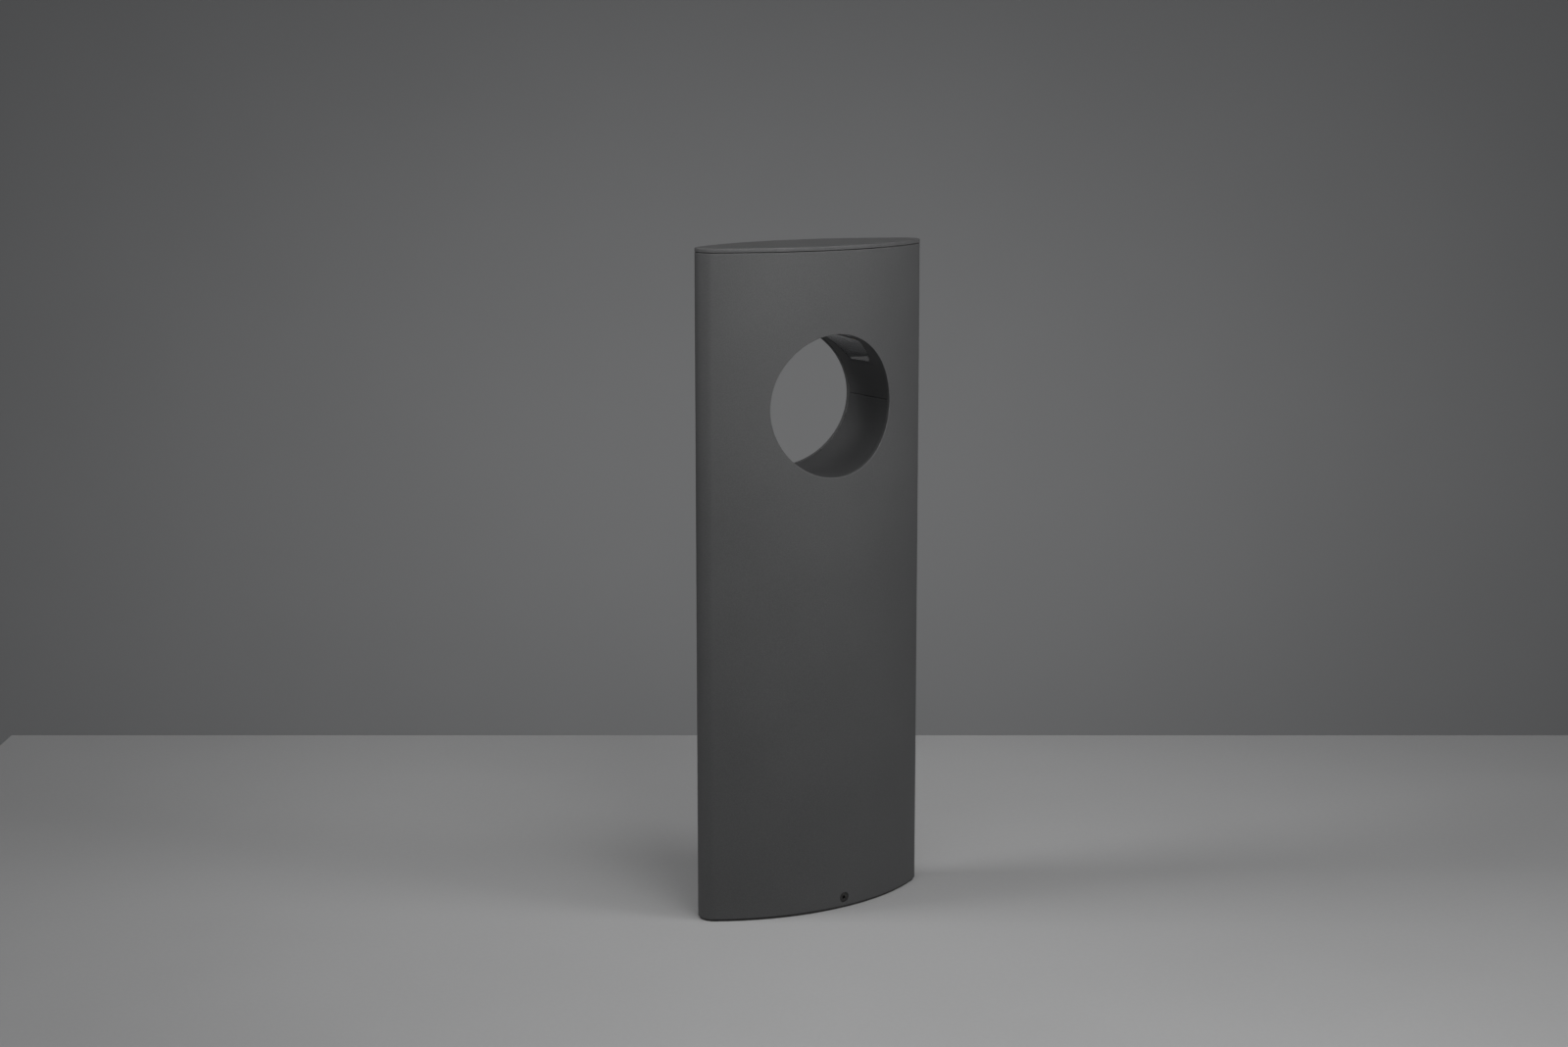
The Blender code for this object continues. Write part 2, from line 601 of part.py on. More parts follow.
def make_cap(kit, body):
    """Cap plate with a grooved locating rim and two bosses; its seal lies in the groove."""
    rim_low = CAP_Z - CAP_RIM_DEPTH
    cap = prism(kit, "top_cap", [oval_outline()], CAP_Z, HEIGHT)
    rim_inset = WALL + 0.0004
    rim = prism(kit, "cap_rim_add", [oval_outline(rim_inset)], rim_low, CAP_Z + 0.001)
    change(kit, cap, rim, "UNION")
    hollow = prism(kit, "cap_hollow_cut", [oval_outline(rim_inset + CAP_RIM_WALL)], rim_low - 0.01, CAP_Z)
    change(kit, cap, hollow, "DIFFERENCE")
    groove_low, groove_high = rim_low + 0.0025, rim_low + 0.0065
    loops = [oval_outline(-0.005), oval_outline(rim_inset + CAP_GROOVE_DEPTH)]
    change(kit, cap, prism(kit, "cap_groove_cut", loops, groove_low, groove_high), "DIFFERENCE")
    for side in (-1, 1):
        x = side * CAP_BOSS_X
        boss = cylinder(kit, "cap_boss_add", 0.0045, (x, 0, HOUSING_TOP_Z + GAP), (x, 0, CAP_Z + 0.001), 24)
        change(kit, cap, boss, "UNION")
        drill(kit, cap, SCREW_HOLE, (x, 0, HOUSING_TOP_Z - 0.01), (x, 0, CAP_Z - 0.001), 12)
    kit.finish(cap, body, "graphite_coat")
    loops = [oval_outline(WALL + GAP), oval_outline(rim_inset + CAP_GROOVE_DEPTH - GAP)]
    seal = prism(kit, "cap_seal", loops, groove_low + GAP, groove_high - GAP)
    kit.finish(seal, body, "black_rubber")


def make_upper_liner(kit, body):
    """Upper half of the liner, with the light window and the holes for its screws and plug."""
    liner = half_liner(kit, "upper_liner", UPPER_TAB_BOTTOM, UPPER_TAB_TOP, UPPER_TAB_BOTTOM, 0.47)
    window = prism(kit, "window_cut", [window_outline()], UPPER_TAB_BOTTOM + 0.01, 0.46)
    change(kit, liner, window, "DIFFERENCE")
    square_hole(kit, liner, PLUG_X, PLUG_SIDE + 0.001, OPENING_Z - 0.01, OPENING_Z + 0.01)
    for x, y in foot_screw_places():
        drill(kit, liner, SCREW_HOLE, (x, y, OPENING_Z - 0.01), (x, y, OPENING_Z + 0.01), 12)
    kit.finish(liner, body, "graphite_coat")


def foot_screw_places():
    """Plan places of the four screws through the heat sink's feet."""
    return [(side * 0.062, end * 0.010) for side in (-1, 1) for end in (-1, 1)]


def arch_band(kit, name, outline, inner, outer):
    """The part of a plan outline's prism that lies between two radii about the opening's axis."""
    band = prism(kit, name, [outline], OPENING_Z + 0.005, OPENING_Z + 0.09)
    change(kit, band, opening_cylinder(kit, name + "_outer_cut", outer), "INTERSECT")
    return change(kit, band, opening_cylinder(kit, name + "_inner_cut", inner), "DIFFERENCE")


def make_lens(kit, body):
    """Curved lens: a plug that fills the window and a flange behind the liner, on its seal."""
    flange = window_outline(FLANGE_REACH)
    lens = arch_band(kit, "window_lens", flange, FLANGE_RADIUS, FLANGE_RADIUS + LENS_FLANGE)
    plug_inner = LINER_RADIUS + 0.0002
    plug = arch_band(kit, "lens_plug_add", window_outline(-GAP), plug_inner, FLANGE_RADIUS + 0.001)
    change(kit, lens, plug, "UNION")
    kit.finish(lens, body, "clear_lens")
    seal = arch_band(kit, "lens_seal", flange, SEAL_RADIUS, SEAL_RADIUS + SEAL_THICKNESS)
    inside = prism(kit, "lens_seal_cut", [window_outline(0.0008)], OPENING_Z, HEIGHT)
    change(kit, seal, inside, "DIFFERENCE")
    kit.finish(seal, body, "black_rubber")


def make_reflector(kit, body):
    """Black frame round the light path, between the lens flange and the board."""
    low = FLANGE_RADIUS + LENS_FLANGE + GAP
    frame = arch_band(kit, "reflector_frame", window_outline(FLANGE_REACH), low, BOARD_INNER - GAP)
    inner = window_outline(FLANGE_REACH - REFLECTOR_WALL)
    inside = prism(kit, "reflector_cut", [inner], OPENING_Z, HEIGHT)
    change(kit, frame, inside, "DIFFERENCE")
    kit.finish(frame, body, "black_plastic")


def make_heat_sink(kit, body):
    """Arched aluminium carrier with upright fins, a top plate for the cap and two feet on the liner."""
    reach = DEPTH / 2
    sink = opening_cylinder(kit, "heat_sink", HOUSING_OUTER)
    half = box(kit, "sink_half_cut", (-WIDTH, -WIDTH, HOUSING_Z), (WIDTH, WIDTH, HEIGHT))
    change(kit, sink, half, "INTERSECT")
    for side in (-1, 1):
        inner, outer = sorted((side * 0.062, side * HOUSING_OUTER))
        leg = box(kit, "sink_leg_add", (inner, -reach, HOUSING_Z), (outer, reach, HOUSING_LEG_TOP))
        change(kit, sink, leg, "UNION")
    for number in range(-FINS_EACH_SIDE, FINS_EACH_SIDE + 1):
        x = number * FIN_PITCH
        low_z = OPENING_Z + math.sqrt(HOUSING_OUTER ** 2 - x * x) - 0.003
        fin = box(kit, "sink_fin_add", (x - FIN_THICKNESS / 2, -reach, low_z),
                  (x + FIN_THICKNESS / 2, reach, HOUSING_TOP_Z - HOUSING_TOP_PLATE / 2))
        change(kit, sink, fin, "UNION")
    low = (-0.064, -0.012, HOUSING_TOP_Z - HOUSING_TOP_PLATE)
    top = box(kit, "sink_top_add", low, (0.064, 0.012, HOUSING_TOP_Z))
    change(kit, sink, top, "UNION")
    change(kit, sink, opening_cylinder(kit, "sink_bore_cut", HOUSING_INNER), "DIFFERENCE")
    for side in (-1, 1):
        inner, outer = sorted((side * (LINER_OUTER + 0.001), side * (HOUSING_INNER + 0.001)))
        foot = box(kit, "sink_foot_add", (inner, -reach, HOUSING_Z), (outer, reach, HOUSING_FOOT_TOP))
        change(kit, sink, foot, "UNION")
    between = prism(kit, "sink_trim_cut", [oval_outline(WALL + 2 * GAP)], HOUSING_Z - 0.01, HEIGHT)
    change(kit, sink, between, "INTERSECT")
    square_hole(kit, sink, PLUG_X, PLUG_SIDE + 0.001, HOUSING_Z - 0.01, HOUSING_FOOT_TOP + 0.001)
    for x, y in foot_screw_places():
        drill(kit, sink, SCREW_HOLE, (x, y, HOUSING_Z - 0.01), (x, y, HOUSING_FOOT_TOP + 0.001), 12)
    for side in (-1, 1):
        x = side * CAP_BOSS_X
        drill(kit, sink, SCREW_HOLE, (x, 0, HOUSING_TOP_Z - 0.006), (x, 0, HOUSING_TOP_Z + 0.01), 12)
        drill(kit, sink, 0.0013, (side * 0.060, 0, CLIP_SCREW_Z), (side * 0.09, 0, CLIP_SCREW_Z), 12)
    kit.finish(sink, body, "bare_aluminium")

    names = ("left_front", "left_back", "right_front", "right_back")
    for (x, y), name in zip(foot_screw_places(), names):
        place = (x, y, HOUSING_FOOT_TOP + GAP + SCREW_HEAD[1])
        screw(kit, "foot_screw_" + name, body, place, (0, 0, 1), 0.0095)
    for side, name in ((-1, "left"), (1, "right")):
        place = (side * CAP_BOSS_X, 0, HOUSING_TOP_Z - HOUSING_TOP_PLATE - GAP - SCREW_HEAD[1])
        screw(kit, "cap_screw_" + name, body, place, (0, 0, -1), 0.014)


def make_clips(kit, body):
    """Spring leaves on the heat sink's legs, which grip the ends of the lower liner's tabs."""
    for side, name in ((-1, "left"), (1, "right")):
        near = HOUSING_OUTER + GAP
        inner, outer = sorted((side * near, side * (near + CLIP_THICKNESS)))
        clip = box(kit, "spring_clip_" + name, (inner, -0.005, 0.368), (outer, 0.005, HOUSING_LEG_TOP))
        drill(kit, clip, SCREW_HOLE, (side * 0.06, 0, CLIP_SCREW_Z), (side * 0.09, 0, CLIP_SCREW_Z), 12)
        kit.finish(clip, body, "spring_steel")
        place = (side * (near + CLIP_THICKNESS + GAP + 0.0015), 0, CLIP_SCREW_Z)
        screw(kit, "clip_screw_" + name, body, place, (side, 0, 0), 0.0055, (0.0022, 0.0015), 0.001)


def make_light_engine(kit, body):
    """Curved board inside the heat sink's arch, with its row of light sources facing the opening."""
    end_x = BOARD_INNER * math.cos(BOARD_START)
    half_width = BOARD_HALF_WIDTH
    outline = [(-end_x, -half_width), (end_x, -half_width), (end_x, half_width), (-end_x, half_width)]
    board = arch_band(kit, "led_board", outline, BOARD_INNER, BOARD_OUTER)
    kit.finish(board, body, "board_mask")
    step = (math.pi - 2 * LED_START) / (LED_COUNT - 1)
    top = BOARD_INNER - GAP
    corner = Vector((LED_SIZE, LED_SIZE, LED_THICKNESS)) / 2
    radius = top - LED_THICKNESS / 2
    for number in range(LED_COUNT):
        angle = LED_START + number * step
        chip = box(kit, "led_%d" % (number + 1), -corner, corner)
        chip.location = (radius * math.cos(angle), 0, OPENING_Z + radius * math.sin(angle))
        chip.rotation_euler = (0, math.pi / 2 - angle, 0)
        kit.finish(chip, body, "led_phosphor")


def make_plug(kit, body):
    """Plug that passes down through the feet and tabs into the socket, and the lead to the board."""
    half = PLUG_SIDE / 2
    top = HOUSING_FOOT_TOP + 0.001
    plug = box(kit, "head_plug", (PLUG_X - half, -half, SOCKET_Z + 0.004), (PLUG_X + half, half, top))
    low = (PLUG_X - half, -0.0038, HOUSING_FOOT_TOP + GAP)
    collar = box(kit, "plug_collar_add", low, (PLUG_X + half, 0.0038, HOUSING_FOOT_TOP + 0.003))
    change(kit, plug, collar, "UNION")
    kit.finish(plug, body, "black_plastic")
    route = [(-0.0635, 0, HOUSING_FOOT_TOP + 0.003 + GAP), (-0.0634, 0, 0.3975), (-0.0622, 0.0004, 0.4010),
             (-0.0598, 0.0008, 0.4045)]
    kit.finish(tube(kit, "head_lead", route, 0.0008), body, "black_plastic")


def add_materials(kit):
    """The colour, roughness and metallic value of each finish."""
    kit.material("graphite_coat", (0.085, 0.087, 0.090), 0.55, 0.3)
    kit.material("cast_aluminium", (0.55, 0.56, 0.57), 0.50, 1.0)
    kit.material("bare_aluminium", (0.72, 0.73, 0.74), 0.38, 1.0)
    kit.material("zinc_steel", (0.62, 0.63, 0.64), 0.32, 1.0)
    kit.material("black_steel", (0.030, 0.030, 0.032), 0.42, 0.8)
    kit.material("spring_steel", (0.58, 0.58, 0.57), 0.28, 1.0)
    kit.material("black_rubber", (0.022, 0.022, 0.022), 0.80)
    kit.material("black_plastic", (0.028, 0.028, 0.030), 0.45)
    kit.material("white_plastic", (0.78, 0.78, 0.76), 0.45)
    kit.material("clear_lens", (0.60, 0.62, 0.64), 0.06)
    kit.material("board_mask", (0.035, 0.037, 0.040), 0.40)
    kit.material("led_phosphor", (0.85, 0.66, 0.20), 0.35)
    kit.material("brown_lead", (0.16, 0.065, 0.030), 0.45)
    kit.material("blue_lead", (0.030, 0.11, 0.38), 0.45)
    kit.material("green_lead", (0.10, 0.42, 0.09), 0.45)


def main():
    """Build the three bodies: the foot, the post that lifts off it, and the head that lifts out."""
    kit = Kit("oval_path_light")
    add_materials(kit)
    foot = kit.empty("foot_body", (0, 0, 0))
    post = kit.empty("post_body", (0, 0, FOOT_Z), foot)
    head = kit.empty("head_body", (0, 0, OPENING_Z), foot)
    bpy.context.view_layer.update()
    make_foot(kit, foot)
    make_shell(kit, post)
    make_fixings(kit, post)
    make_lower_liner(kit, post)
    make_tray(kit, post)
    make_driver(kit, post)
    make_terminals(kit, post)
    make_cable_clamp(kit, post)
    make_leads(kit, post)
    make_socket(kit, post)
    make_cap(kit, head)
    make_upper_liner(kit, head)
    make_lens(kit, head)
    make_reflector(kit, head)
    make_heat_sink(kit, head)
    make_clips(kit, head)
    make_light_engine(kit, head)
    make_plug(kit, head)


main()
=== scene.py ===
"""Looks of an oval path light: a slim pointed-oval post with a round opening through its upper part.

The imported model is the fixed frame. The skins that show (post wall, cap, both liner halves, window lens,
fixing screws, light sources, leads) are worked out as fine surfaces in the same places, and the other parts
keep their own meshes and get a finish. Lengths are in metres.
"""

import json
import logging
import math
from dataclasses import dataclass, field
from enum import Enum

import bmesh
import bpy
import numpy as np
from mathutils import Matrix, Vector


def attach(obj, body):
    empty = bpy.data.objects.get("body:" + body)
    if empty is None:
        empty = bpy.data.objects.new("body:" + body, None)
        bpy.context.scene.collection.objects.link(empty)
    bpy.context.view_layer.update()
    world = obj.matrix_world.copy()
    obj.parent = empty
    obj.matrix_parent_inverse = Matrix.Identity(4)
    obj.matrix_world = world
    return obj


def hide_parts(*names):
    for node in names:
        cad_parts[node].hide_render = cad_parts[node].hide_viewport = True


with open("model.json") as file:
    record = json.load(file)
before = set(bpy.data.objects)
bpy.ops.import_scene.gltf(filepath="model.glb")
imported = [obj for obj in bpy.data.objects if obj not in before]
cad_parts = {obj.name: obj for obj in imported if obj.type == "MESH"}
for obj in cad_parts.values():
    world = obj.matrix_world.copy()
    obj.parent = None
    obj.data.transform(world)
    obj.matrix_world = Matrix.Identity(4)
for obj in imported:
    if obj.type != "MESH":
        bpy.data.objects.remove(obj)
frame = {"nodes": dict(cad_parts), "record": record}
log = logging.getLogger("path_light")

Array = np.ndarray
Socket = bpy.types.NodeSocket
Thing = bpy.types.Object


# ---------------------------------------------------------------- surfaces

def steps(*stops: tuple[float, int]) -> Array:
    """Grid lines between stops.

    Args:
        stops: (place, count) pairs; count is the number of cells up to that place from the one before.

    Returns:
        The places of the lines, each stop exact.
    """
    lines = [np.array([stops[0][0]])]
    for (start, _), (end, count) in zip(stops, stops[1:]):
        lines.append(np.linspace(start, end, count + 1)[1:])
    return np.concatenate(lines)


def quarter(count: int) -> Array:
    """Angles from 0 to a right angle in `count` steps."""
    return np.linspace(0.0, math.pi / 2, count + 1)


def join(x: Array, y: Array, z: Array) -> Array:
    """Stacks three arrays of coordinates, after broadcasting, into places."""
    return np.stack(np.broadcast_arrays(x, y, z), axis=-1)


@dataclass
class Skin:
    """Faces of one piece, gathered sheet by sheet and welded where their edges meet.

    Attributes:
        places: blocks of corner places.
        quads: blocks of four-cornered faces as corner numbers.
        wear: blocks of closeness to an exposed edge, 0 to 1, one for each corner.
        count: corners gathered so far.
    """

    places: list[Array] = field(default_factory=list)
    quads: list[Array] = field(default_factory=list)
    wear: list[Array] = field(default_factory=list)
    count: int = 0

    def sheet(self, places: Array, wear: Array | float = 0.0, around: bool = False) -> None:
        """Adds a grid of places as four-cornered faces.

        Args:
            places: rows by columns by three.
            wear: one value, or an array that broadcasts to rows by columns.
            around: joins the last column to the first.
        """
        rows, columns = places.shape[:2]
        index = np.arange(rows * columns).reshape(rows, columns) + self.count
        if around:
            index = np.concatenate([index, index[:, :1]], axis=1)
        corners = (index[:-1, :-1], index[:-1, 1:], index[1:, 1:], index[1:, :-1])
        self.quads.append(np.stack(corners, axis=-1).reshape(-1, 4))
        self.places.append(places.reshape(-1, 3))
        self.wear.append(np.broadcast_to(np.asarray(wear, float), (rows, columns)).reshape(-1))
        self.count += rows * columns

    def turned_copy(self) -> None:
        """Adds a copy of everything so far, turned half round about the upright axis."""
        quads = np.concatenate(self.quads)
        places = np.concatenate(self.places) * (-1.0, -1.0, 1.0)
        self.quads.append(quads + self.count)
        self.places.append(places)
        self.wear.append(np.concatenate(self.wear))
        self.count *= 2

    def piece(self, name: str, sharp: float = 40.0) -> Thing:
        """Makes the mesh object: welded, faces outward, smooth but for edges past an angle.

        Args:
            name: the object's name.
            sharp: the angle between faces, in degrees, from which an edge stays sharp.

        Returns:
            The new object, with its place in its mesh.
        """
        mesh = bpy.data.meshes.new(name)
        mesh.from_pydata(np.concatenate(self.places).tolist(), [], np.concatenate(self.quads).tolist())
        layer = mesh.attributes.new("wear", "FLOAT", "POINT")
        layer.data.foreach_set("value", np.concatenate(self.wear).astype(np.float32))
        work = bmesh.new()
        work.from_mesh(mesh)
        bmesh.ops.remove_doubles(work, verts=work.verts, dist=2e-6)
        bmesh.ops.dissolve_degenerate(work, edges=work.edges, dist=1e-7)
        bmesh.ops.recalc_face_normals(work, faces=work.faces)
        work.to_mesh(mesh)
        work.free()
        mesh.shade_smooth()
        mesh.set_sharp_from_angle(angle=math.radians(sharp))
        thing = bpy.data.objects.new(name, mesh)
        bpy.context.scene.collection.objects.link(thing)
        return thing


@dataclass(frozen=True)
class OvalPlan:
    """Plan of the post: a shallow arc front and back, and a small arc at each end.

    Each face arc and its neighbour nose arc share a tangent, so the wall is smooth all round. A plan `inset`
    inside the outer one keeps the arcs' centres and takes the inset off their radii.

    Attributes:
        width: size in x.
        depth: size in y.
        nose_radius: radius of each end arc.
        core: half width of the block of grid lines round the opening.
        seat_block: the block of grid lines round the front screw seat, from and to x.
        nose_cells: cells round each nose arc.
    """

    width: float = 0.194
    depth: float = 0.073
    nose_radius: float = 0.0126
    core: float = 0.080
    seat_block: tuple[float, float] = (0.0021, 0.0141)
    nose_cells: int = 22

    @property
    def nose_x(self) -> float:
        """Distance from the middle to a nose arc's centre."""
        return self.width / 2 - self.nose_radius

    @property
    def centre_y(self) -> float:
        """Distance behind the middle of the front face arc's centre, from the tangency of the two arcs."""
        rise = self.depth / 2 - self.nose_radius
        return (self.nose_x ** 2 - rise ** 2) / (2 * rise)

    @property
    def face_radius(self) -> float:
        """Radius of a face arc."""
        return self.centre_y + self.depth / 2

    @property
    def sweep(self) -> float:
        """Angle from the middle of a face arc to its end."""
        return math.atan2(self.nose_x, self.centre_y)

    def half_depth(self, x: Array | float, inset: float = 0.0) -> Array:
        """Half the plan depth at x: the face arc's height over x, less its centre's distance."""
        return np.sqrt((self.face_radius - inset) ** 2 - np.square(x)) - self.centre_y

    def columns(self, inset: float = 0.0) -> Array:
        """Grid lines in x over a face arc; the same for every inset but for the end strips."""
        end = (self.face_radius - inset) * math.sin(self.sweep)
        seat_left, seat_right = self.seat_block
        return steps((-end, 0), (-self.core, 5), (seat_left, 38), (seat_right, 12), (self.core, 30), (end, 5))

    def nose(self, inset: float = 0.0) -> Array:
        """Points of the right nose arc, from the front face's end to the back face's."""
        angle = np.linspace(self.sweep - math.pi / 2, math.pi / 2 - self.sweep, self.nose_cells + 1)
        radius = self.nose_radius - inset
        return np.stack([self.nose_x + radius * np.cos(angle), radius * np.sin(angle)], axis=-1)

    def loop(self, inset: float = 0.0) -> Array:
        """The whole plan as points in turn: face and nose, then both turned half round."""
        x = self.columns(inset)
        face = np.stack([x, -self.half_depth(x, inset)], axis=-1)
        half = np.concatenate([face[:-1], self.nose(inset)[:-1]])
        return np.concatenate([half, -half])

    def rings(self, stations: list[tuple[float, float, float]]) -> Array:
        """A profile carried round the plan.

        Args:
            stations: (inset, scale, z) for each ring; scale draws the ring towards the middle.

        Returns:
            Places, one row for each station.
        """
        made = []
        for inset, scale, z in stations:
            loop = self.loop(inset) * scale
            made.append(join(loop[:, 0], loop[:, 1], np.full(len(loop), z)))
        return np.stack(made)


PLAN = OvalPlan()
HOLE_Z = 0.383
WALL = 0.003
GAP = 0.0003
RING_CROWDING = 1.7


def ring_patch(xs: Array, zs: Array, centre: tuple[float, float], radius: float, rings: int) -> Array:
    """Rings of (x, z) from the border of a block of grid lines to a circle.

    Each ring is a blend of the border and the circle's point in the same direction, closer together at the
    circle.

    Args:
        xs: the block's grid lines in x.
        zs: the block's grid lines in z.
        centre: the circle's middle as (x, z).
        radius: the circle's radius.
        rings: how many rings, both ends counted.

    Returns:
        Rings by points by two.
    """
    bottom = np.stack([xs[:-1], np.full(len(xs) - 1, zs[0])], axis=-1)
    right = np.stack([np.full(len(zs) - 1, xs[-1]), zs[:-1]], axis=-1)
    top = np.stack([xs[:0:-1], np.full(len(xs) - 1, zs[-1])], axis=-1)
    left = np.stack([np.full(len(zs) - 1, xs[0]), zs[:0:-1]], axis=-1)
    border = np.concatenate([bottom, right, top, left])
    away = border - centre
    circle = centre + radius * away / np.linalg.norm(away, axis=1, keepdims=True)
    share = 1 - (1 - np.linspace(0, 1, rings)) ** RING_CROWDING
    return border + share[:, None, None] * (circle - border)


def revolved(stations: list[tuple[float, float]], middle: Vector, axis: Vector, count: int = 48,
             squash: Array | None = None) -> Array:
    """A profile turned about an axis.

    The ring at each station is middle + axis times height + radius times the unit circle square to the axis.
    Where a station's `squash` is above 0, its ring is pressed towards a hexagon: the circle's radius is
    divided by the cosine of the angle to the nearest flat's middle.

    Args:
        stations: (radius, height) for each ring.
        middle: the place of height 0.
        axis: the direction of height.
        count: points in each ring.
        squash: for each station, 0 for a circle up to 1 for a hexagon measured across its flats.

    Returns:
        Stations by points by three.
    """
    up = np.array(axis.normalized())
    side = np.cross(up, (0.0, 0.0, 1.0) if abs(up[2]) < 0.9 else (1.0, 0.0, 0.0))
    side /= np.linalg.norm(side)
    other = np.cross(up, side)
    turn = np.linspace(0, 2 * math.pi, count, endpoint=False)
    radius = np.array([s[0] for s in stations])[:, None] * np.ones(count)
    if squash is not None:
        flat = np.mod(turn, math.pi / 3) - math.pi / 6
        radius = radius * (1 + np.asarray(squash)[:, None] * (1 / np.cos(flat) - 1))
    height = np.array([s[1] for s in stations])[:, None]
    circle = np.cos(turn)[:, None] * side + np.sin(turn)[:, None] * other
    return np.array(middle) + height[..., None] * up + radius[..., None] * circle


# ---------------------------------------------------------------- finishes

class Graph:
    """Short hand for a node tree: makes nodes, fills their inputs and links them."""

    def __init__(self, tree: bpy.types.NodeTree) -> None:
        """Keeps the tree that the nodes go into."""
        self.tree = tree

    def feed(self, value: Socket | tuple | float, target: Socket) -> None:
        """Links a socket to an input, or sets the input's own value."""
        if isinstance(value, bpy.types.NodeSocket):
            self.tree.links.new(value, target)
        else:
            target.default_value = value

    def node(self, kind: str, inputs: dict | None = None, **settings) -> bpy.types.Node:
        """Makes one node.

        Args:
            kind: the node's type name without its ShaderNode prefix.
            inputs: for each input's name or number, a socket to link or a value to set.
            settings: the node's own properties.

        Returns:
            The node.
        """
        made = self.tree.nodes.new("ShaderNode" + kind)
        for name, value in settings.items():
            setattr(made, name, value)
        for name, value in (inputs or {}).items():
            self.feed(value, made.inputs[name])
        return made

    def math(self, operation: str, *values: Socket | float, clamp: bool = False) -> Socket:
        """A math node's result."""
        inputs = dict(enumerate(values))
        return self.node("Math", inputs, operation=operation, use_clamp=clamp).outputs[0]

    def remap(self, value: Socket, low: float, high: float, to_low: float = 0.0,
              to_high: float = 1.0) -> Socket:
        """A value mapped smoothly from one range to another."""
        inputs = {"Value": value, "From Min": low, "From Max": high, "To Min": to_low, "To Max": to_high}
        return self.node("MapRange", inputs, interpolation_type="SMOOTHSTEP").outputs[0]

    def mix(self, share: Socket | float, first: Socket | tuple, second: Socket | tuple,
            blend: str = "MIX") -> Socket:
        """A mix of two colours; inputs 6 and 7 and output 2 are the node's colour sockets."""
        inputs = {0: share, 6: first, 7: second}
        return self.node("Mix", inputs, data_type="RGBA", blend_type=blend, clamp_factor=True).outputs[2]

    def stretch(self, place: Socket, scale: tuple[float, float, float]) -> Socket:
        """Places scaled by a different amount along each axis."""
        return self.node("Mapping", {"Vector": place, "Scale": scale}).outputs[0]

    def noise(self, place: Socket, scale: Socket | float, detail: float = 3.0, rough: float = 0.55) -> Socket:
        """Soft noise from 0 to 1."""
        inputs = {"Vector": place, "Scale": scale, "Detail": detail, "Roughness": rough}
        return self.node("TexNoise", inputs).outputs[0]

    def group(self, tree: bpy.types.NodeTree, inputs: dict) -> bpy.types.Node:
        """Places a shared group with its own values."""
        return self.node("Group", inputs, node_tree=tree)


def new_group(name: str, inputs: dict[str, tuple[str, float]],
              outputs: list[str]) -> tuple[Graph, dict, bpy.types.Node]:
    """Starts a shared node group.

    Args:
        name: the group's name.
        inputs: for each input, its kind and start value.
        outputs: the names of its value outputs.

    Returns:
        The group's graph, its input sockets by name, and its output node.
    """
    tree = bpy.data.node_groups.new(name, "ShaderNodeTree")
    for title, (kind, value) in inputs.items():
        made = tree.interface.new_socket(title, in_out="INPUT", socket_type="NodeSocket" + kind)
        if kind == "Float":
            made.default_value = value
    for title in outputs:
        tree.interface.new_socket(title, in_out="OUTPUT", socket_type="NodeSocketFloat")
    start = tree.nodes.new("NodeGroupInput")
    end = tree.nodes.new("NodeGroupOutput")
    return Graph(tree), {socket.name: socket for socket in start.outputs}, end


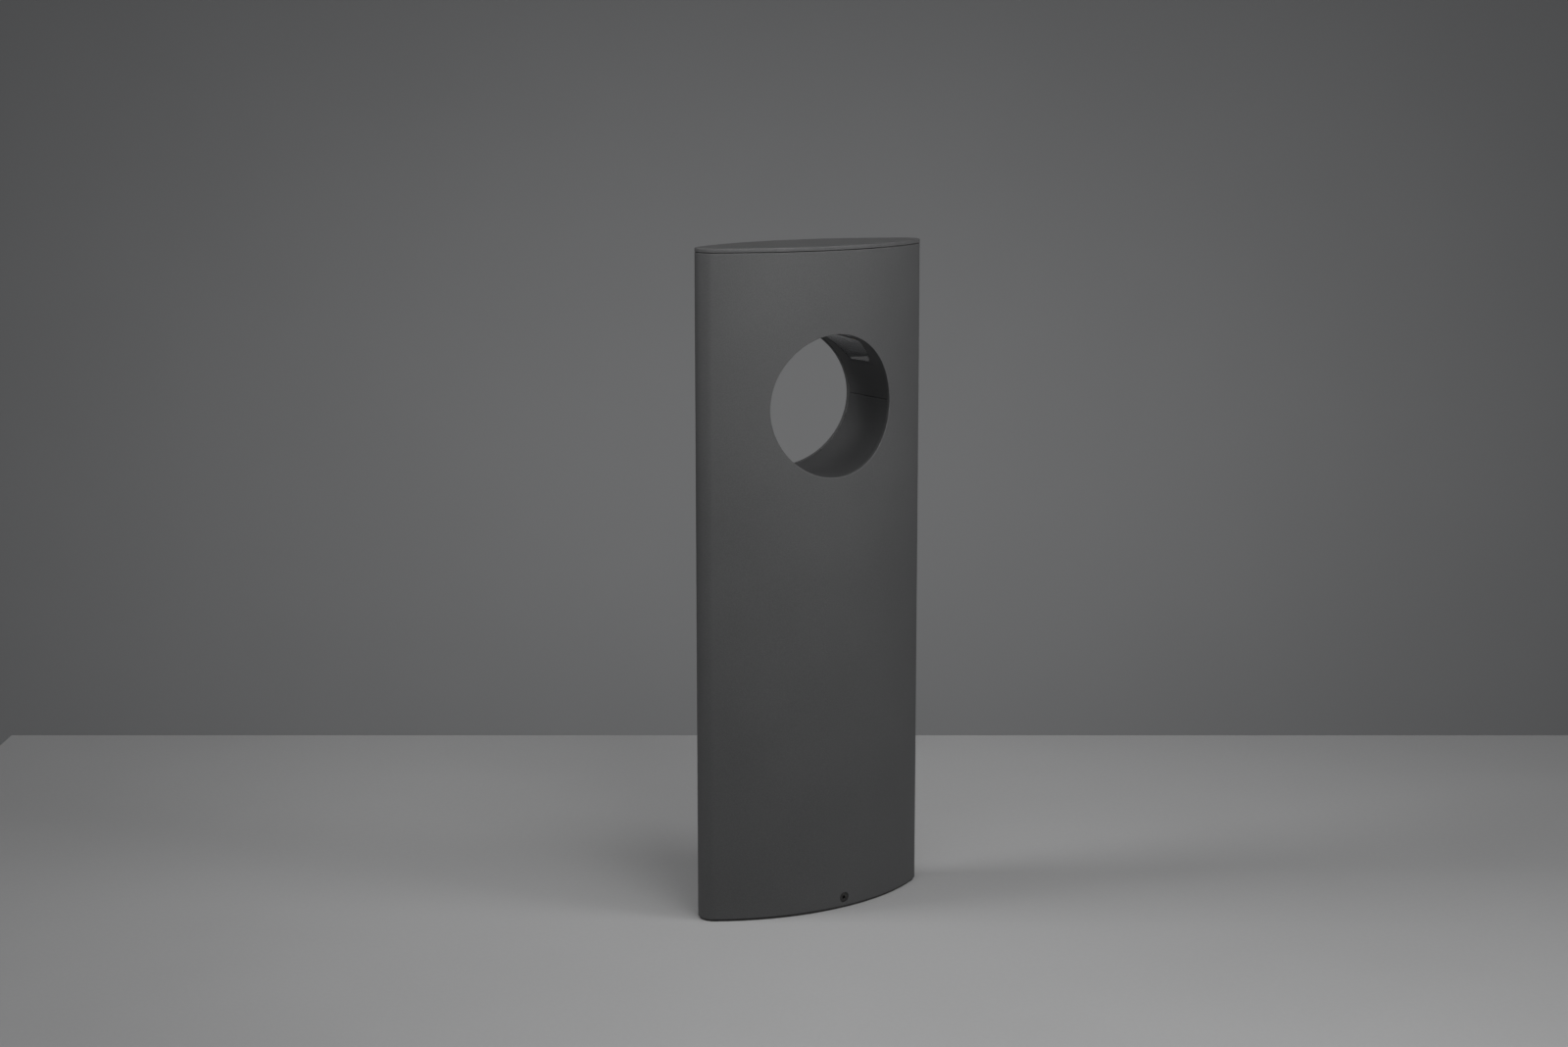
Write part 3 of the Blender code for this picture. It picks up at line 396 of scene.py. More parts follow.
class Effects:
    """The effects that more than one finish uses, each built once as a node group."""

    def __init__(self) -> None:
        """Builds every group."""
        self.grain = self.build_grain()
        self.clouds = self.build_clouds()
        self.edge_wear = self.build_edge_wear()
        self.dust = self.build_dust()
        self.scratches = self.build_scratches()

    def build_grain(self) -> bpy.types.NodeTree:
        """Fine grain: soft noise over small cells, as on coated, cast and moulded surfaces."""
        graph, given, end = new_group("fine_grain", {"Place": ("Vector", 0), "Size": ("Float", 0.0004),
                                                     "Cells": ("Float", 0.4)}, ["Height", "Specks"])
        scale = graph.math("DIVIDE", 1.0, given["Size"])
        soft = graph.noise(given["Place"], scale, 2.0, 0.6)
        cell_scale = graph.math("MULTIPLY", scale, 0.8)
        cells = graph.node("TexVoronoi", {"Vector": given["Place"], "Scale": cell_scale},
                           feature="SMOOTH_F1").outputs["Distance"]
        dome = graph.math("SUBTRACT", 1.0, cells)
        share = graph.math("MULTIPLY", given["Cells"], graph.math("SUBTRACT", dome, soft))
        height = graph.math("ADD", soft, share)
        fleck = graph.noise(given["Place"], graph.math("MULTIPLY", scale, 0.55), 1.0, 0.5)
        graph.feed(height, end.inputs["Height"])
        graph.feed(graph.remap(fleck, 0.35, 0.68), end.inputs["Specks"])
        return graph.tree

    def build_clouds(self) -> bpy.types.NodeTree:
        """Broad soft differences in tone, from 0 to 1."""
        graph, given, end = new_group("broad_clouds", {"Place": ("Vector", 0), "Size": ("Float", 0.05)},
                                      ["Cloud"])
        scale = graph.math("DIVIDE", 1.0, given["Size"])
        cloud = graph.noise(given["Place"], scale, 4.0, 0.55)
        graph.feed(graph.remap(cloud, 0.3, 0.7), end.inputs["Cloud"])
        return graph.tree

    def build_edge_wear(self) -> bpy.types.NodeTree:
        """Rubbed edges: the piece's own edge mask broken up by noise."""
        graph, given, end = new_group("edge_wear", {"Place": ("Vector", 0), "Edge": ("Float", 0),
                                                    "Amount": ("Float", 0.5)}, ["Rub"])
        patches = graph.noise(given["Place"], 140.0, 4.0, 0.7)
        fine = graph.noise(given["Place"], 1600.0, 2.0, 0.6)
        both = graph.math("ADD", graph.math("MULTIPLY", patches, 0.7), graph.math("MULTIPLY", fine, 0.3))
        rubbed = graph.math("MULTIPLY", given["Edge"], graph.remap(both, 0.40, 0.62, 0.15, 1.0))
        graph.feed(graph.math("MULTIPLY", rubbed, given["Amount"]), end.inputs["Rub"])
        return graph.tree

    def build_dust(self) -> bpy.types.NodeTree:
        """Settled dust: on faces that look up, and thinly on the lowest few centimetres."""
        graph, given, end = new_group("settled_dust", {"Place": ("Vector", 0), "Amount": ("Float", 0.2),
                                                       "Splash Height": ("Float", 0.03)}, ["Dust"])
        normal = graph.node("NewGeometry").outputs["Normal"]
        up = graph.node("SeparateXYZ", {"Vector": normal}).outputs["Z"]
        height = graph.node("SeparateXYZ", {"Vector": given["Place"]}).outputs["Z"]
        low = graph.math("SUBTRACT", 1.0, graph.math("DIVIDE", height, given["Splash Height"]), clamp=True)
        settled = graph.math("ADD", graph.remap(up, 0.55, 1.0), graph.math("MULTIPLY", low, 0.5), clamp=True)
        broken = graph.remap(graph.noise(given["Place"], 420.0, 5.0, 0.7), 0.36, 0.72)
        cover = graph.math("MULTIPLY", settled, graph.math("ADD", 0.35, graph.math("MULTIPLY", broken, 0.65)))
        graph.feed(graph.math("MULTIPLY", cover, given["Amount"]), end.inputs["Dust"])
        return graph.tree

    def build_scratches(self) -> bpy.types.NodeTree:
        """Fine lines: noise drawn out along one axis, keeping its thin crests."""
        graph, given, end = new_group("fine_lines", {"Place": ("Vector", 0), "Width": ("Float", 0.0002)},
                                      ["Lines"])
        scale = graph.math("DIVIDE", 1.0, given["Width"])
        lines = graph.noise(given["Place"], scale, 3.0, 0.65)
        graph.feed(lines, end.inputs["Lines"])
        return graph.tree


class Process(Enum):
    """How a surface was made, which sets the pattern it carries."""

    COATED = "powder coated"
    CAST = "cast and blasted"
    DRAWN = "extruded or rolled"
    PLATED = "zinc plated"
    MOULDED = "moulded"
    CLEAR = "clear moulded"
    PRINTED = "solder mask"


@dataclass(frozen=True)
class Finish:
    """One finish of the light.

    Attributes:
        colour: linear base colour.
        tint: a second colour that the pattern mixes in.
        process: how the surface was made.
        roughness: the middle of its roughness.
        metallic: 1 for bare metal.
        grain: size of its grain.
        relief: height of its grain.
        wear: how far its edges are rubbed.
        dust: how much dust it holds.
    """

    colour: tuple[float, float, float]
    tint: tuple[float, float, float]
    process: Process
    roughness: float
    metallic: float = 0.0
    grain: float = 0.0005
    relief: float = 0.00003
    wear: float = 0.0
    dust: float = 0.0


FINISHES: dict[str, Finish] = {
    "graphite_coat": Finish((0.066, 0.0665, 0.0675), (0.098, 0.0985, 0.100), Process.COATED, 0.56,
                            grain=0.00034, relief=0.000060, wear=0.16, dust=0.05),
    # The liners' coat: the graphite coat made darker, as painted shade inside the round opening.
    "liner_painted_shade_coat": Finish((0.046, 0.0465, 0.0475), (0.074, 0.0745, 0.076), Process.COATED, 0.50,
                         grain=0.00034, relief=0.000045),
    "cast_aluminium": Finish((0.47, 0.48, 0.49), (0.34, 0.345, 0.35), Process.CAST, 0.52, metallic=1.0,
                             grain=0.0007, relief=0.00010, dust=0.12),
    "bare_aluminium": Finish((0.70, 0.71, 0.72), (0.52, 0.53, 0.545), Process.DRAWN, 0.34, metallic=1.0,
                             grain=0.0004, relief=0.000015),
    "zinc_steel": Finish((0.60, 0.61, 0.63), (0.66, 0.61, 0.47), Process.PLATED, 0.30, metallic=1.0,
                         grain=0.0004, relief=0.000012),
    "black_steel": Finish((0.030, 0.030, 0.032), (0.075, 0.073, 0.070), Process.PLATED, 0.40, metallic=1.0,
                          grain=0.0003, relief=0.00001, wear=0.7),
    "spring_steel": Finish((0.56, 0.56, 0.55), (0.42, 0.42, 0.43), Process.DRAWN, 0.24, metallic=1.0,
                           grain=0.0003, relief=0.00001),
    "black_rubber": Finish((0.020, 0.020, 0.021), (0.050, 0.049, 0.047), Process.MOULDED, 0.78,
                           grain=0.0006, relief=0.00004, dust=0.25),
    "black_plastic": Finish((0.022, 0.022, 0.024), (0.040, 0.040, 0.042), Process.MOULDED, 0.44),
    "white_plastic": Finish((0.74, 0.735, 0.71), (0.62, 0.61, 0.57), Process.MOULDED, 0.42,
                            grain=0.0006, relief=0.00002),
    "clear_lens": Finish((0.96, 0.97, 0.98), (0.9, 0.9, 0.9), Process.CLEAR, 0.03,
                         grain=0.0008, relief=0.000004),
    "board_mask": Finish((0.020, 0.022, 0.024), (0.045, 0.048, 0.050), Process.PRINTED, 0.32,
                         relief=0.00001),
    "led_phosphor": Finish((0.80, 0.58, 0.13), (0.88, 0.74, 0.32), Process.MOULDED, 0.28,
                           grain=0.0003, relief=0.00001),
    "brown_lead": Finish((0.15, 0.058, 0.027), (0.19, 0.080, 0.040), Process.MOULDED, 0.36,
                         grain=0.0006, relief=0.00001),
    "blue_lead": Finish((0.025, 0.10, 0.36), (0.040, 0.14, 0.45), Process.MOULDED, 0.36,
                        grain=0.0006, relief=0.00001),
    "green_lead": Finish((0.08, 0.38, 0.07), (0.85, 0.70, 0.04), Process.MOULDED, 0.36,
                         grain=0.0006, relief=0.00001),
}
GRAIN_CELLS = {Process.COATED: 0.45, Process.CAST: 0.7, Process.MOULDED: 0.25}
PLAIN_GRAIN_CELLS = 0.2
LINE_STRETCH = (1.0, 1.0, 0.03)
DUST_COLOUR = (0.30, 0.29, 0.27, 1.0)
CLEAR_IOR, COAT_IOR, PLAIN_IOR = 1.585, 1.6, 1.48


class FinishShop:
    """Makes each finish's material once and puts it on pieces."""

    def __init__(self, effects: Effects) -> None:
        """Keeps the shared effects, and starts with no material."""
        self.effects = effects
        self.made: dict[str, bpy.types.Material] = {}

    def material(self, slot: str) -> bpy.types.Material:
        """The material of a slot, made at its first use."""
        if slot not in self.made:
            self.made[slot] = self.build(slot, FINISHES[slot])
        return self.made[slot]

    def dress(self, thing: Thing, slot: str) -> None:
        """Puts a slot's material on every material slot of a piece."""
        material = self.material(slot)
        if not thing.material_slots:
            thing.data.materials.append(material)
        for place in thing.material_slots:
            place.material = material

    def build(self, slot: str, finish: Finish) -> bpy.types.Material:
        """Builds one material, with grain, broad tone, lines, rubbed edges and dust.

        Args:
            slot: the slot's name, which the material takes.
            finish: its values.

        Returns:
            The material.
        """
        material = bpy.data.materials.new(slot)
        material.use_nodes = True
        graph = Graph(material.node_tree)
        graph.tree.nodes.clear()
        place = graph.node("TexCoord").outputs["Object"]
        shader = graph.node("BsdfPrincipled")
        output = graph.node("OutputMaterial")
        graph.feed(shader.outputs[0], output.inputs["Surface"])
        shader.inputs["Metallic"].default_value = finish.metallic
        shader.inputs["IOR"].default_value = CLEAR_IOR if finish.process is Process.CLEAR else PLAIN_IOR

        effects = self.effects
        cells = GRAIN_CELLS.get(finish.process, PLAIN_GRAIN_CELLS)
        grain = graph.group(effects.grain, {"Place": place, "Size": finish.grain, "Cells": cells})
        height, specks = grain.outputs["Height"], grain.outputs["Specks"]
        cloud = graph.group(effects.clouds, {"Place": place, "Size": 0.06}).outputs["Cloud"]
        mask = graph.math("MULTIPLY", specks, 0.55)
        mask = graph.math("ADD", mask, graph.math("MULTIPLY", cloud, 0.18), clamp=True)
        if finish.process in (Process.DRAWN, Process.PLATED):
            drawn_out = graph.stretch(place, LINE_STRETCH)
            lines = graph.group(effects.scratches, {"Place": drawn_out, "Width": 0.0003})
            mask = graph.math("ADD", graph.math("MULTIPLY", lines.outputs["Lines"], 0.8),
                              graph.math("MULTIPLY", cloud, 0.25), clamp=True)
            height = graph.math("ADD", graph.math("MULTIPLY", height, 0.3), lines.outputs["Lines"])
        if slot == "green_lead":
            turn = graph.node("SeparateXYZ", {"Vector": place}).outputs["Z"]
            mask = graph.remap(graph.math("SINE", graph.math("MULTIPLY", turn, 1400.0)), 0.15, 0.30)
        colour = graph.mix(mask, (*finish.colour, 1.0), (*finish.tint, 1.0))
        rough = graph.math("ADD", finish.roughness - 0.05, graph.math("MULTIPLY", specks, 0.06))
        rough = graph.math("ADD", rough, graph.math("MULTIPLY", cloud, 0.05))

        if finish.wear:
            edge = graph.node("Attribute", attribute_name="wear").outputs["Fac"]
            inputs = {"Place": place, "Edge": edge, "Amount": finish.wear}
            rub = graph.group(effects.edge_wear, inputs).outputs["Rub"]
            bright = (*(min(1.0, 2.0 * part) for part in finish.tint), 1.0)
            colour = graph.mix(rub, colour, bright)
            rough = graph.math("SUBTRACT", rough, graph.math("MULTIPLY", rub, 0.12))
        if finish.dust:
            dust = graph.group(effects.dust, {"Place": place, "Amount": finish.dust}).outputs["Dust"]
            colour = graph.mix(dust, colour, DUST_COLOUR)
            rough = graph.math("ADD", rough, graph.math("MULTIPLY", dust, 0.4), clamp=True)

        bump = graph.node("Bump", {"Height": height, "Distance": finish.relief, "Strength": 1.0})
        graph.feed(bump.outputs[0], shader.inputs["Normal"])
        graph.feed(rough, shader.inputs["Roughness"])
        if finish.process is Process.CLEAR:
            shader.inputs["Transmission Weight"].default_value = 1.0
            shader.inputs["Coat Weight"].default_value = 1.0
            shader.inputs["Coat Roughness"].default_value = 0.02
            shader.inputs["Coat IOR"].default_value = COAT_IOR
        graph.feed(colour, shader.inputs["Base Color"])
        return material


# ---------------------------------------------------------------- pieces of the light

@dataclass
class Maker:
    """What every sub-assembly needs: the finishes, and the way a made piece joins the model."""

    shop: FinishShop

    def fit(self, thing: Thing, body: str, slot: str, *nodes: str, finish: str = "") -> None:
        """Gives a made piece its finish, its body and the nodes it stands for.

        Args:
            thing: the piece.
            body: the body it rides on.
            slot: the record's slot that its finish comes from.
            nodes: the nodes it stands for.
            finish: a finish other than the slot's own; the liners take a darker copy of their coat, which
                paints shade into the opening.
        """
        self.shop.dress(thing, finish or slot)
        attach(thing, body)
        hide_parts(*nodes)
        log.info("%s: %d faces, %s", thing.name, len(thing.data.polygons), slot)


@dataclass
class PostShell(Maker):
    """The extruded wall of the post, with its round opening and two countersunk seats."""

    low: float = 0.0018
    high: float = 0.4965
    edge: float = 0.0003
    hole_radius: float = 0.0527
    lip: float = 0.0004
    seat_x: float = 0.0081
    seat_z: float = 0.0083
    seat_radius: float = 0.00405
    seat_depth: float = 0.0008
    bore_radius: float = 0.0023
    seat_lip: float = 0.0001
    cone_depth: float = 0.00165
    seat_zone: tuple[float, float] = (0.0023, 0.0143)
    hole_zone: tuple[float, float] = (0.303, 0.463)
    hole_rings: int = 14
    seat_rings: int = 7

    def rows(self) -> tuple[Array, Array, Array, Array, Array]:
        """Grid lines in z of the five zones: foot, seat, lower wall, opening, top wall."""
        start, end = self.low + self.edge, self.high - self.edge
        (seat_low, seat_high), (hole_low, hole_high) = self.seat_zone, self.hole_zone
        return (steps((start, 0), (seat_low, 1)), steps((seat_low, 0), (seat_high, 12)),
                steps((seat_high, 0), (hole_low, 36)), steps((hole_low, 0), (hole_high, 60)),
                steps((hole_high, 0), (end - 2 * self.edge, 9), (end, 1)))

    def borders(self, xs: Array) -> Array:
        """Numbers of the columns that bound the opening's block and, within it, the screw seat's."""
        return np.searchsorted(xs, np.array((-PLAN.core, *PLAN.seat_block, PLAN.core)) - 1e-6)

    def face_sheet(self, skin: Skin, xs: Array, zs: Array, inset: float, wear: Array | float = 0.0) -> None:
        """Adds a block of the front face: y is minus the plan's half depth at x."""
        x, z = np.meshgrid(xs, zs)
        skin.sheet(join(x, -PLAN.half_depth(x, inset), z), wear)

    def face_rings(self, skin: Skin, flat: Array, inset: float, wear: Array | float = 0.0) -> None:
        """Adds rings of (x, z) laid on the front face."""
        x, z = flat[..., 0], flat[..., 1]
        skin.sheet(join(x, -PLAN.half_depth(x, inset), z), wear, around=True)

    def front(self, skin: Skin, inset: float) -> None:
        """Adds the outer (inset 0) or inner (inset of the wall) front face with both its round holes."""
        xs = PLAN.columns(inset)
        foot, seat, lower, opening, top = self.rows()
        left, seat_left, seat_right, right = self.borders(xs)
        for zs in (foot, lower, top):
            self.face_sheet(skin, xs, zs, inset)
        self.face_sheet(skin, xs[:seat_left + 1], seat, inset)
        self.face_sheet(skin, xs[seat_right:], seat, inset)
        self.face_sheet(skin, xs[:left + 1], opening, inset)
        self.face_sheet(skin, xs[right:], opening, inset)
        outer = inset == 0.0
        hole = self.hole_radius + (self.lip if outer else 0.0)
        seat_radius = self.seat_radius + self.seat_lip if outer else self.bore_radius
        core = xs[left:right + 1]
        rings = ring_patch(core, opening, (0.0, HOLE_Z), hole, self.hole_rings)
        fade = np.zeros(self.hole_rings)
        fade[-1] = 0.8 if outer else 0.0
        self.face_rings(skin, rings, inset, fade[:, None])
        core = xs[seat_left:seat_right + 1]
        rings = ring_patch(core, seat, (self.seat_x, self.seat_z), seat_radius, self.seat_rings)
        self.face_rings(skin, rings, inset)

    def throats(self, skin: Skin) -> None:
        """Adds the rounded walls of the opening and of the screw seat, from the outer face to the inner."""
        xs = PLAN.columns()
        left, seat_left, seat_right, right = self.borders(xs)
        _, seat, _, opening, _ = self.rows()
        turn = quarter(5)
        unit = self.directions(xs[left:right + 1], opening, (0.0, HOLE_Z))
        radius = np.concatenate([self.hole_radius + self.lip * (1 - np.sin(turn)), [self.hole_radius] * 2])
        depth = np.concatenate([self.lip * (1 - np.cos(turn)), [0.0008, 0.0022]])
        x = radius[:, None] * unit[:, 0]
        z = HOLE_Z + radius[:, None] * unit[:, 1]
        y = depth[:, None] - PLAN.half_depth(x)
        last = join(x[-1:], -PLAN.half_depth(x[-1:], WALL), z[-1:])
        wear = np.array([0.8, 1.0, 1.0, 0.9, 0.5, 0.2, 0.0, 0.0, 0.0])
        skin.sheet(np.concatenate([join(x, y, z), last]), wear[:, None], around=True)

        unit = self.directions(xs[seat_left:seat_right + 1], seat, (self.seat_x, self.seat_z))
        turn = quarter(2)
        radius = self.seat_radius + self.seat_lip * (1 - np.sin(turn))
        x = self.seat_x + radius[:, None] * unit[:, 0]
        z = self.seat_z + radius[:, None] * unit[:, 1]
        lip = join(x, (self.seat_lip * (1 - np.cos(turn)))[:, None] - PLAN.half_depth(x), z)
        face = -PLAN.half_depth(self.seat_x)
        radius = np.array([self.seat_radius, self.seat_radius - self.seat_lip, self.bore_radius])
        depth = self.seat_depth + np.array([-self.seat_lip, 0.0, self.cone_depth])
        x = self.seat_x + radius[:, None] * unit[:, 0]
        z = self.seat_z + radius[:, None] * unit[:, 1]
        cone = join(x, face + depth[:, None], z)
        end = join(x[-1:], -PLAN.half_depth(x[-1:], WALL), z[-1:])
        wear = np.array([0.7, 0.9, 0.6, 0.2, 0.0, 0.0, 0.0])
        skin.sheet(np.concatenate([lip, cone, end]), wear[:, None], around=True)

    def directions(self, xs: Array, zs: Array, centre: tuple[float, float]) -> Array:
        """Unit directions from a circle's middle to the border of its block."""
        away = ring_patch(xs, zs, centre, 0.001, 2)[0] - centre
        return away / np.linalg.norm(away, axis=1, keepdims=True)

    def noses(self, skin: Skin, inset: float) -> None:
        """Adds the right nose: the nose arc drawn up through every row."""
        zs = np.unique(np.round(np.concatenate(self.rows()), 9))
        arc = PLAN.nose(inset)
        skin.sheet(join(arc[None, :, 0], arc[None, :, 1], zs[:, None]))

    def rims(self, skin: Skin) -> None:
        """Adds the top and bottom edges: a rounded outer corner, a flat, and a small inner corner."""
        inner = 0.00015
        for level, side in ((self.high, 1.0), (self.low, -1.0)):
            turn = quarter(4)
            insets = list(self.edge * (1 - np.cos(turn))) + [WALL - inner, WALL]
            heights = list(level - side * self.edge * (1 - np.sin(turn))) + [level, level - side * self.edge]
            stations = [(inset, 1.0, z) for inset, z in zip(insets, heights)]
            wear = np.array([0.5, 0.9, 1.0, 1.0, 0.7, 0.2, 0.0])
            skin.sheet(PLAN.rings(stations), wear[:, None], around=True)

    def build(self) -> None:
        """Builds the shell from its front half and the same half turned round."""
        skin = Skin()
        for inset in (0.0, WALL):
            self.front(skin, inset)
            self.noses(skin, inset)
        self.throats(skin)
        skin.turned_copy()
        self.rims(skin)
        self.fit(skin.piece("shell_skin"), "post", "graphite_coat", "post_shell")


@dataclass
class TopCap(Maker):
    """The cap: a thin plate, a grooved locating rim and two screw bosses under it."""

    top: float = 0.5
    under: float = 0.497
    edge: float = 0.0005
    rim_inset: float = 0.0034
    rim_wall: float = 0.0035
    rim_low: float = 0.487
    groove: float = 0.0022
    boss_x: float = 0.054
    boss_radius: float = 0.0045
    boss_low: float = 0.4853
    boss_hole: float = 0.0016
    hole_depth: float = 0.009
    groove_z: tuple[float, float] = (0.4895, 0.4935)
    bevel: float = 0.0004

    def stations(self) -> tuple[list[tuple[float, float, float]], Array]:
        """The cap's section as (inset, scale, z), from the middle of its top to that of its underside."""
        line: list[tuple[float, float, float]] = []
        wear: list[float] = []
        for scale in np.linspace(0.0, 0.985, 12):
            line.append((self.edge, float(scale), self.top))
            wear.append(0.0)
        for turn in quarter(4):
            line.append((self.edge * (1 - math.sin(turn)), 1.0, self.top - self.edge * (1 - math.cos(turn))))
            wear.append(1.0)
        small = 0.0002
        for turn in quarter(3):
            line.append((small * (1 - math.cos(turn)), 1.0, self.under + small * (1 - math.sin(turn))))
            wear.append(0.7)
        rim, floor, inner = self.rim_inset, self.rim_inset + self.groove, self.rim_inset + self.rim_wall
        low, high = self.groove_z
        section = [(rim, self.under), (rim, high), (floor, high), (floor, low), (rim, low),
                   (rim, self.rim_low + self.bevel), (rim + self.bevel, self.rim_low),
                   (inner, self.rim_low), (inner, self.under)]
        for inset, z in section:
            line.append((inset, 1.0, z))
            wear.append(0.0)
        for scale in np.linspace(0.9, 0.0, 5):
            line.append((inner, float(scale), self.under))
            wear.append(0.0)
        return line, np.array(wear)

    def build(self) -> None:
        """Builds the cap as one section carried round the plan, with a turned boss on each side."""
        skin = Skin()
        line, wear = self.stations()
        skin.sheet(PLAN.rings(line), wear[:, None], around=True)
        radius, hole, bevel = self.boss_radius, self.boss_hole, self.bevel
        root = self.under - self.boss_low + 0.0006
        section = [(0.0, self.hole_depth), (hole, self.hole_depth), (hole, bevel), (hole + bevel, 0.0),
                   (radius - bevel, 0.0), (radius, bevel), (radius, root), (0.0, root)]
        for side in (-1, 1):
            middle = Vector((side * self.boss_x, 0, self.boss_low))
            skin.sheet(revolved(section, middle, Vector((0, 0, 1)), 32), around=True)
        self.fit(skin.piece("cap_skin"), "head", "graphite_coat", "top_cap")


@dataclass(frozen=True)
class WindowPlan:
    """Plan of the light window: a shallow arc on each long side, round corners and square ends.

    Attributes:
        half_width: half its width at the middle.
        arc: radius of the arc along each long side.
        end_x: where its ends are, at 29.5 degrees above the seam.
        corner: depth of a corner's curve.
        corner_x: the corner's curve in plan, foreshortened by the slope of the pipe there.
    """

    half_width: float = 0.0285
    arc: float = 0.075
    end_x: float = 0.0527 * math.cos(math.radians(29.5))
    corner: float = 0.004
    corner_x: float = 0.004 * math.sin(math.radians(29.5))

    def edge(self, grow: float = 0.0) -> tuple[Array, Array]:
        """Columns of the window and its half width at each.

        On the long side the half width is the middle's less the arc's sagitta at x. At a corner both follow a
        quarter ellipse.

        Args:
            grow: how far outside the window the edge lies.

        Returns:
            The columns' x from left to right, and the half width at each.
        """
        straight = self.end_x + grow - self.corner_x
        x = np.linspace(-straight, straight, 57)
        half = self.half_width + grow - (self.arc - np.sqrt(self.arc ** 2 - x ** 2))
        turn = np.linspace(math.pi / 2, 0, 8)[1:]
        corner_x = straight + self.corner_x * np.cos(turn)
        corner_half = half[-1] - self.corner + self.corner * np.sin(turn)
        return (np.concatenate([-corner_x[::-1], x, corner_x]),
                np.concatenate([corner_half[::-1], half, corner_half]))

    def sheet(self, radius: float, grow: float, rows: int = 15) -> Array:
        """The window's plan laid on a level cylinder of a radius about the opening's axis.

        Args:
            radius: the cylinder's radius.
            grow: how far outside the window the sheet's edge lies.
            rows: grid lines across.

        Returns:
            Rows by columns by three; z is the opening's middle plus the root of radius squared less x
            squared.
        """
        x, half = self.edge(grow)
        across = np.linspace(-1, 1, rows)[:, None]
        return join(x, across * half, HOLE_Z + np.sqrt(radius ** 2 - x ** 2))


WINDOW = WindowPlan()


def border_of(sheet: Array) -> Array:
    """The border points of a sheet in turn: first row, last column, last row and first column back."""
    return np.concatenate([sheet[0, :-1], sheet[:-1, -1], sheet[-1, :0:-1], sheet[:0:-1, 0]])


